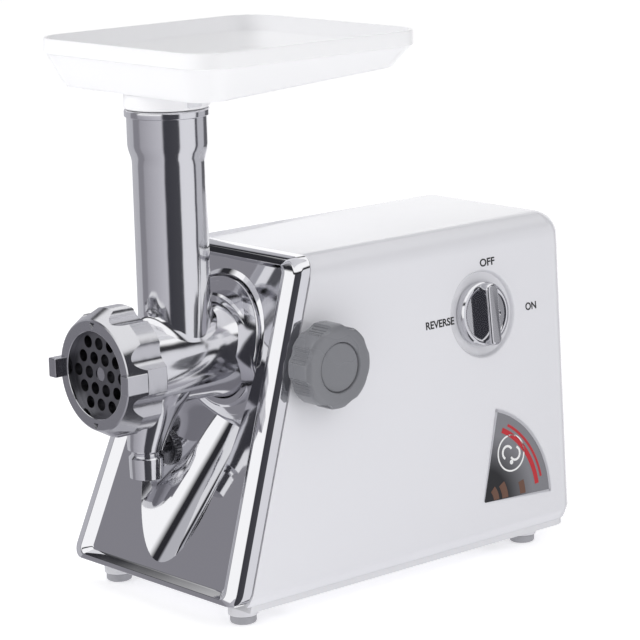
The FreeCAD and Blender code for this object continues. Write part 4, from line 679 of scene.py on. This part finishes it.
SKIRT = [(math.radians(d)) for d in range(0, 91, 10)]
FILLET = 6.5
tube = turned([(18.5, 170.0), (20.7, 170.0), (20.7, 255.0), (22.9, 262.0), (22.9, 279.0), (24.1, 279.5), (24.1, 283.5),
               (20.9, 283.5), (20.9, 262.0), (18.5, 255.0)], 96,
              soft=((2, 2.0, 3), (3, 2.0, 3), (5, 0.3, 2), (6, 1.4, 4), (7, 1.2, 4)))
for v in tube.verts:
    if v.co.z < 170.01:
        v.co.z = AXIS_Z + math.sqrt(BARREL_R ** 2 - v.co.x ** 2) - 1.6
bmesh.ops.translate(tube, vec=(0, TUBE_Y, 0), verts=tube.verts)
join(head, tube)
flare = bmesh.new()
rings = []
for angle in SKIRT:
    verts = bmesh.ops.create_circle(flare, cap_ends=False, radius=20.6, segments=96)["verts"]
    for v in verts:
        across = abs(v.co.x) / 20.6
        fillet = FILLET * (1 - 0.72 * across ** 3)
        reach = 20.6 + fillet * (1 - math.cos(angle))
        flat = Vector((v.co.x, v.co.y)).normalized() * reach
        foot_x = min(abs(flat.x), 24.6)
        v.co = (flat.x, TUBE_Y + flat.y, skirt_drop(foot_x, fillet * (1 - math.sin(angle))) - 0.25)
    rings.append(list({e for v in verts for e in v.link_edges}))
through(flare, rings)
inner = bmesh.ops.extrude_edge_only(flare, edges=rings[-1])["geom"]
inner_verts = [g for g in inner if isinstance(g, bmesh.types.BMVert)]
bmesh.ops.scale(flare, vec=(0.74, 0.74, 1), verts=inner_verts, space=Matrix.Translation((0, -TUBE_Y, 0)))
bmesh.ops.translate(flare, vec=(0, 0, -4.5), verts=inner_verts)
inner_edges = [g for g in inner if isinstance(g, bmesh.types.BMEdge)]
bmesh.ops.bridge_loops(flare, edges=inner_edges + rings[0])
bmesh.ops.recalc_face_normals(flare, faces=flare.faces)
join(head, flare)
print("head and tube", len(head.faces), "faces")

# %% Post under the head
POST = ((76.4, -130.0, 8.4), (77.0, -130.0, 9.6), (88.6, -130.0, 9.9), (90.3, -130.0, 8.2), (91.6, -130.0, 8.2),
        (93.2, -129.8, 10.5), (96.0, -129.4, 11.0), (104.0, -127.2, 12.6), (112.0, -124.8, 14.6), (118.0, -123.0, 17.0),
        (122.0, -121.8, 19.4), (126.5, -120.8, 22.0))
post = bmesh.new()
rings = []
for z, y, r in POST:
    verts = bmesh.ops.create_circle(post, cap_ends=False, radius=r, segments=64)["verts"]
    for v in verts:
        v.co = (min(max(v.co.x, -20.5), 20.5), v.co.y + y, z)
    rings.append(list({e for v in verts for e in v.link_edges}))
through(post, rings)
for ring in (rings[0], rings[-1]):
    bmesh.ops.contextual_create(post, geom=ring)
bmesh.ops.recalc_face_normals(post, faces=post.faces)
join(head, post)
piece("grinder_head_casting", head, "aluminium_cast_polished", "head", ["grinder_head"], sharp=40)

# %% Knurled post screw
screw_head = turned([(0, 0), (9.4, 0), (10.3, 0.8), (10.3, 4.2), (9.4, 5.0), (0, 5.0)], 72)
for v in screw_head.verts:
    radius = math.hypot(v.co.x, v.co.y)
    if radius > 9.9:
        tooth = round(math.atan2(v.co.y, v.co.x) / math.tau * 72) % 2
        v.co.x *= 1 - 0.06 * tooth
        v.co.y *= 1 - 0.06 * tooth
join(screw_head, turned([(0, -11), (2.6, -11), (3.0, -10.6), (3.0, 0.2), (0, 0.2)], 32))
put(screw_head, "Y", (0, -116.5, 91.0))
piece("post_screw_knurled", screw_head, "steel_knurled", "head", ["post_screw"], sharp=30)

# %% [markdown]
# ## Ring nut
# The nut is turned first: opening, front face, a flare and a straight rear. Its eight scallops
# are cut by round plugs, and two lugs for the fingers stand at the sides of the front face. Two
# small pyramid dents above and below the opening are cut with four-sided cones.

# %% Ring nut
NUT_FRONT = -163.8
nut = put(turned([(24.5, 0), (30.6, 0), (31.4, 0.5), (36.5, 10.0), (36.5, 22.6), (35.7, 23.5), (29.8, 23.5), (29.8, 4.2),
                  (24.5, 4.2)], 192, soft=((0, 0.7, 3),)), "Y", (0, NUT_FRONT, AXIS_Z))
for i in range(8):
    a = math.radians(45 * i + 22.5)
    reach = 36.5 + 11.0 - 3.6
    plug = put(turned([(0, -2), (11.0, -2), (11.0, 26), (0, 26)], 64), "Y",
               (reach * math.cos(a), NUT_FRONT, AXIS_Z + reach * math.sin(a)))
    nut = cut_from(nut, plug)
for side in (-1, 1):
    dent = bmesh.new()
    bmesh.ops.create_cone(dent, cap_ends=True, segments=3, radius1=5.2, radius2=0.0, depth=5.0)
    put(dent, "Y", (0, NUT_FRONT, AXIS_Z + side * 28.4))
    nut = cut_from(nut, dent)
creases = [e for e in nut.edges if len(e.link_faces) == 2 and e.calc_face_angle(0) > 0.45]
bmesh.ops.remove_doubles(nut, verts=nut.verts, dist=1e-3)
for side in (-1, 1):
    lug = bmesh.new()
    bmesh.ops.create_cube(lug, size=1)
    bmesh.ops.scale(lug, vec=(6.5, 14.5, 11.0), verts=lug.verts)
    rounded_edges(lug, lug.edges, 0.7, 3)
    bmesh.ops.translate(lug, vec=(side * (36.5 - 3.25), NUT_FRONT - 4.5 + 7.25, AXIS_Z), verts=lug.verts)
    join(nut, lug)
piece("ring_nut_casting", nut, "aluminium_cast_tumbled", "nut", ["ring_nut"], sharp=26)

# %% [markdown]
# ## Feed tray
# A shallow moulded pan: an upright band at the rim, rounded corners and a floor that falls a
# little to the front. Outlines from the floor's underside up to the rim and down inside again
# are bridged, and the floor opens into the throat that drops into the head's cup.

# %% Tray
TRAY_MID_Y, TRAY_HALF_Y, TRAY_HALF_X = -61.1, 81.3, 77.7


def tray_corners(inset):
    x, y = TRAY_HALF_X - inset, TRAY_HALF_Y - inset
    return [(-x, -y), (x, -y), (x, y), (-x, y)]


def tray_height(level, tilt):
    """Lays an outline down at a height; tilt raises its rear and lowers its front."""
    return lambda co: Vector((co.x, co.z + TRAY_MID_Y, level + tilt * co.z / TRAY_HALF_Y))


TRAY_OUTSIDE = ((14.0, 296.2, 4.4, 12.0), (10.5, 296.8, 4.4, 14.0), (8.6, 298.6, 4.0, 16.0), (1.7, 310.9, 0.0, 19.0),
                (1.2, 311.8, 0.0, 19.6), (1.0, 312.0, 0.0, 19.8), (0.0, 312.4, 0.0, 20.4), (0.0, 320.0, 0.0, 20.4),
                (0.4, 320.7, 0.0, 20.4), (1.8, 320.7, 0.0, 19.4), (2.2, 320.0, 0.0, 19.0), (2.3, 312.6, 0.0, 18.8),
                (3.2, 310.6, 0.0, 18.0), (10.2, 300.6, 4.0, 14.0), (12.0, 299.2, 4.4, 13.0), (15.5, 298.4, 4.4, 12.0))
tray = bmesh.new()
loops = [ring_of(tray, tray_corners(inset), radius, 8, tray_height(level, tilt))
         for inset, level, tilt, radius in TRAY_OUTSIDE]
through(tray, loops)


def floor_hole(radius, lift):
    verts = bmesh.ops.create_circle(tray, cap_ends=False, radius=radius, segments=64)["verts"]
    for v in verts:
        tilt = 4.4 * (v.co.y + TUBE_Y - TRAY_MID_Y) / TRAY_HALF_Y
        v.co = (v.co.x, v.co.y + TUBE_Y, lift + tilt)
    return list({e for v in verts for e in v.link_edges})


under, above = floor_hole(23.9, 296.2), floor_hole(19.4, 298.4)
bmesh.ops.triangle_fill(tray, edges=loops[0] + under, use_beauty=True, use_dissolve=False, normal=(0, 0, -1))
bmesh.ops.triangle_fill(tray, edges=loops[-1] + above, use_beauty=True, use_dissolve=False, normal=(0, 0, 1))
throat = []
for radius, level in ((24.1, 292.0), (24.1, 284.6), (23.6, 284.0), (20.5, 284.0), (20.5, 273.0), (20.1, 272.5),
                      (18.6, 272.5), (18.6, 296.0)):
    verts = bmesh.ops.create_circle(tray, cap_ends=False, radius=radius, segments=64)["verts"]
    bmesh.ops.translate(tray, vec=(0, TUBE_Y, level), verts=verts)
    throat.append(list({e for v in verts for e in v.link_edges}))
through(tray, [under] + throat + [above])
bmesh.ops.remove_doubles(tray, verts=tray.verts, dist=1e-4)
bmesh.ops.recalc_face_normals(tray, faces=tray.faces)
piece("feed_tray_moulding", tray, "white_abs_tray", "tray", ["feed_tray"], sharp=36)
tab = bmesh.new()
bmesh.ops.create_cube(tab, size=1)
bmesh.ops.scale(tab, vec=(3.0, 9.0, 6.0), verts=tab.verts)
rounded_edges(tab, tab.edges, 0.6, 3)
bmesh.ops.translate(tab, vec=(24.2, TUBE_Y, 288.4), verts=tab.verts)
piece("feed_tray_tab", tab, "white_abs_base", "tray")

# %% [markdown]
# ## Locking knob
# A star knob of grey plastic: a disc whose rim is scalloped by eight round plugs, with the face
# edge softened before cutting, fine ribs in the scallops for the fingers and a round cap sunk in
# the middle of its face.

# %% Star knob
LOCK = (88.0, -60.2, 141.5)
KNOB_X0 = LOCK[0] - 18.0
knob = turned([(0, 0), (22.6, 0), (23.6, 1.0), (24.0, 2.2), (24.0, 13.8), (23.4, 15.9), (21.8, 17.3), (19.6, 18.0),
               (14.9, 18.0), (14.4, 17.7), (14.1, 17.0), (14.0, 14.8), (0, 14.8)], 160)
bmesh.ops.transform(knob, matrix=Matrix.Rotation(math.pi / 2, 4, "Z"), verts=knob.verts)
for i in range(8):
    a = math.radians(45 * i + 22.5)
    reach = 24.0 + 9.0 - 2.4
    plug = turned([(0, -1), (9.0, -1), (9.0, 19), (0, 19)], 48)
    bmesh.ops.translate(plug, vec=(reach * math.cos(a), reach * math.sin(a), 0), verts=plug.verts)
    knob = cut_from(knob, plug)
for i in range(8):
    for j in (-2, -1, 0, 1, 2):
        a = math.radians(45 * i + 22.5)
        b = a + math.pi + math.radians(13.5 * j)
        rib = turned([(0, 2.2), (0.5, 2.2), (0.5, 13.6), (0.0, 14.2)], 8)
        bmesh.ops.translate(rib, vec=(30.6 * math.cos(a) + 9.05 * math.cos(b), 30.6 * math.sin(a) + 9.05 * math.sin(b), 0),
                            verts=rib.verts)
        join(knob, rib)
# local X of the disc becomes world Y, local Y becomes world Z and the axis points to +X
KNOB_SEAT = Matrix.Translation((KNOB_X0, LOCK[1], LOCK[2])) @ Matrix(((0, 0, 1, 0), (1, 0, 0, 0), (0, 1, 0, 0), (0, 0, 0, 1)))
bmesh.ops.transform(knob, matrix=KNOB_SEAT, verts=knob.verts)
piece("lock_knob_star", knob, "grey_abs_satin", "knob", ["lock_knob"], sharp=30)
cap = turned([(0, 15.0), (13.8, 15.0), (13.8, 16.6), (13.2, 17.0), (12.2, 16.9), (0, 16.9)], 96)
bmesh.ops.transform(cap, matrix=KNOB_SEAT, verts=cap.verts)
piece("lock_knob_face_cap", cap, "grey_abs_satin", "knob", ["lock_knob_cap"], sharp=30)

# %% [markdown]
# ## Dial and its marks
# The switch's dial is a plated disc in the dish with one upright grip bar. The disc has a raised
# rim and a shallow face, the bar is a block with full rounds, trimmed to the disc's edge.
# OFF, ON and REVERSE are the generic words of such a switch.

# %% Dial
DIAL_SEAT = on_side(73.2, 147.6)
dial = turned([(0, -2.7), (18.6, -2.7), (19.2, -2.1), (19.2, 1.9), (18.3, 3.0), (17.0, 3.3), (16.0, 3.0), (15.3, 2.3), (0, 2.3)],
              128, soft=((3, 0.5, 2),))
bar = bmesh.new()
bmesh.ops.create_cube(bar, size=1)
bmesh.ops.scale(bar, vec=(9.0, 36.6, 10.4), verts=bar.verts)
rounded_edges(bar, [e for e in bar.edges if abs(e.verts[0].co.z - e.verts[1].co.z) > 5], 3.6, 6)
rounded_edges(bar, [e for e in bar.edges if all(v.co.z > 5 for v in e.verts) and e.calc_face_angle(0) > 0.5], 1.6, 4)
bmesh.ops.translate(bar, vec=(0, 0, 5.1), verts=bar.verts)
join(dial, bar)
dimple = turned([(0, 2.2), (1.9, 2.2), (1.9, 2.7), (1.5, 2.95), (1.1, 2.7), (0.8, 2.4), (0, 2.4)], 32)
bmesh.ops.translate(dimple, vec=(10.4, -1.0, 0), verts=dimple.verts)
join(dial, dimple)
bmesh.ops.transform(dial, matrix=DIAL_SEAT, verts=dial.verts)
piece("dial_knob_plated", dial, "dial_chromium", "dial", ["dial_knob"], sharp=30)


# %% Switch marks
def mark(name, word, y, z, width):
    """A printed word on the side wall, as wide as it should be, made a thin mesh."""
    curve = bpy.data.curves.new(name, "FONT")
    curve.body = word
    curve.size = 6.2
    curve.align_x = curve.align_y = "CENTER"
    curve.offset = 0.14
    curve.extrude = 0.05
    written = bpy.data.objects.new(name + "_text", curve)
    bpy.context.scene.collection.objects.link(written)
    seen = written.evaluated_get(bpy.context.evaluated_depsgraph_get())
    letters = bmesh.new()
    letters.from_mesh(bpy.data.meshes.new_from_object(seen))
    bpy.data.objects.remove(written)
    span = max(v.co.x for v in letters.verts) - min(v.co.x for v in letters.verts)
    bmesh.ops.scale(letters, vec=(width / span, 1, 1), verts=letters.verts)
    bmesh.ops.remove_doubles(letters, verts=letters.verts, dist=1e-4)
    bmesh.ops.transform(letters, matrix=on_side(y, z, 0.06), verts=letters.verts)
    return piece(name, letters, "black_switch_print", "housing", weighted=False)


mark("switch_mark_off", "OFF", 80.0, 177.0, 12.0)
mark("switch_mark_on", "ON", 113.0, 146.0, 9.0)
mark("switch_mark_reverse", "REVERSE", 38.2, 147.0, 22.5)

# %% [markdown]
# ## Badge
# The side carries a quarter-fan badge. Its own print is replaced by a plain pattern: a silvered
# rim, a dark face that lightens outwards, a ringed roundel with curls, two red bands and a few
# brown curved shapes. It is a stack of thin plates, so each colour is its own piece.

# %% Badge plates
BADGE_SEAT = on_side(60.9, 36.9) @ Matrix.Rotation(math.radians(-3.8), 4, "Z")


def fan(inner, outer, start, sweep, low, high, centre=(0, 0), steps=48):
    """A flat sector between two radii and two levels, spun from its section."""
    bm = bmesh.new()
    verts = [bm.verts.new((r, 0, h)) for r, h in ((inner, low), (outer, low), (outer, high), (inner, high))]
    face = bm.faces.new(verts)
    bmesh.ops.spin(bm, geom=[face], cent=(0, 0, 0), axis=(0, 0, 1), dvec=(0, 0, 0),
                   angle=math.radians(sweep), steps=steps, use_merge=False, use_duplicate=False)
    bm.faces.ensure_lookup_table()
    bmesh.ops.remove_doubles(bm, verts=bm.verts, dist=1e-4)
    if sweep < 360 and face.is_valid is False or True:
        ends = [e for e in bm.edges if e.is_boundary]
        if ends:
            bmesh.ops.holes_fill(bm, edges=ends, sides=0)
    bmesh.ops.recalc_face_normals(bm, faces=bm.faces)
    bmesh.ops.transform(bm, verts=bm.verts, matrix=Matrix.Translation((centre[0], centre[1], 0))
                        @ Matrix.Rotation(math.radians(start), 4, "Z"))
    return bm


def badge_plate(name, bm, material, stands_for=()):
    bmesh.ops.transform(bm, matrix=BADGE_SEAT, verts=bm.verts)
    return piece(name, bm, material, "housing", stands_for, weighted=False)


tree, shader, spot = finish("badge_face_printed", "#4a4a4e", metallic=0.3, roughness=0.3)
centre = BADGE_SEAT.translation * 0.001
shifted = add_node(tree, "ShaderNodeMapping", Vector=(spot, "Object"), Location=tuple(-c for c in centre))
far = add_node(tree, "ShaderNodeVectorMath", {"operation": "LENGTH"}, _0=(shifted, "Vector"))
fade = add_node(tree, "ShaderNodeMapRange", Value=(far, "Value"), From_Min=0.004, From_Max=0.056)
tint(tree, shader, (fade, "Result"), "#2b2b2e", "#8a8a8f")
edge_ring = fan(54.2, 56.0, 0, 77, 0.0, 0.5)
for start in (0, 75.6):
    join(edge_ring, fan(1.0, 55.5, start, 1.4, 0.0, 0.5, steps=2))
badge_plate("badge_rim", edge_ring, "badge_rim_silvered", ["side_badge"])
badge_plate("badge_face", fan(1.0, 54.2, 1.4, 74.2, 0.0, 0.38), "badge_face_printed")
badge_plate("badge_roundel_ring", fan(10.2, 11.2, 0, 360, 0.38, 0.46, (23.5, 27.0), 64), "white_print_ink")
curls = fan(3.2, 4.6, 30, 210, 0.38, 0.46, (20.5, 27.5), 32)
join(curls, fan(3.2, 4.6, 210, 220, 0.38, 0.46, (26.8, 26.5), 32))
join(curls, fan(0.1, 1.4, 0, 360, 0.38, 0.46, (23.6, 21.5), 16))
badge_plate("badge_roundel_curls", curls, "white_print_ink")
bands_red = fan(43.0, 46.2, 8, 60, 0.38, 0.46)
join(bands_red, fan(48.0, 49.6, 12, 52, 0.38, 0.46))
badge_plate("badge_red_bands", bands_red, "red_print_ink")
brown = fan(15.0, 20.0, 3, 30, 0.38, 0.46)
join(brown, fan(8.0, 12.5, 4, 40, 0.38, 0.46))
join(brown, fan(30.0, 34.5, 3, 14, 0.38, 0.46))
badge_plate("badge_brown_shapes", brown, "brown_print_ink")

# %% [markdown]
# ## Feet
# Four rubber feet sit under the bosses of the base plate. Each is turned with a soft lower edge
# and a small waist where it plugs into its boss.

# %% Feet
feet = bmesh.new()
for sx in (-1, 1):
    for sy in (-1, 1):
        foot = turned([(0, 0), (6.4, 0), (7.2, 0.5), (7.5, 1.4), (7.5, 4.2), (7.0, 5.0), (0, 5.0)], 48)
        bmesh.ops.translate(foot, vec=(sx * 57.2, sy * 110.1, 0), verts=foot.verts)
        join(feet, foot)
piece("rubber_feet_moulded", feet, "grey_rubber_moulded", "housing", ["rubber_feet"], sharp=30)

# %% [markdown]
# ## Pieces that keep their CAD mesh
# Everything inside the housing, and the plate, screw and knife inside the head, have the right
# shape already. Each gets the finish that its own part in such a machine has.

# %% Finishes on CAD nodes
KEPT = {
    "base_plate": "white_abs_base", "base_screws": "steel_zinc_plated", "cord_inlet": "black_nylon_moulded",
    "rotary_switch": "black_nylon_moulded", "gearbox_case": "grey_glass_filled_nylon",
    "gearbox_cover": "zinc_bracket_pressed", "gearbox_screws": "steel_zinc_plated",
    "output_front_bush": "bronze_sintered", "output_rear_bush": "bronze_sintered", "first_axle": "steel_ground",
    "second_axle": "steel_ground", "motor_front_bracket": "zinc_bracket_pressed",
    "motor_rear_bracket": "zinc_bracket_pressed", "motor_stator": "steel_laminations_stacked",
    "motor_bolts": "steel_zinc_plated", "motor_bearings": "bronze_sintered", "field_coils": "copper_wire_wound",
    "brush_holders": "bronze_sintered", "carbon_brushes": "carbon_brush_pressed", "rotor_shaft": "steel_ground",
    "rotor_core": "steel_laminations_stacked", "rotor_winding": "copper_wire_wound",
    "commutator": "copper_wire_wound", "cooling_fan": "black_nylon_moulded", "motor_pinion": "steel_gear_cut",
    "first_gear": "white_nylon_gear", "first_pinion": "steel_gear_cut", "second_gear": "steel_gear_cut",
    "second_pinion": "steel_gear_cut", "output_gear": "steel_gear_cut", "output_shaft": "steel_ground",
    "feed_screw": "aluminium_cast_tumbled", "screw_washer": "black_nylon_moulded", "cross_knife": "steel_ground",
    "cutting_plate": "steel_plate_faced", "lock_washer": "steel_zinc_plated", "lock_stud": "steel_zinc_plated",
    "dial_spindle": "steel_zinc_plated",
}
for node, material in KEPT.items():
    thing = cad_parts[node]
    for place in thing.material_slots:
        place.material = MADE[material]
    if not thing.material_slots:
        thing.data.materials.append(MADE[material])
print(len(KEPT), "CAD nodes finished")
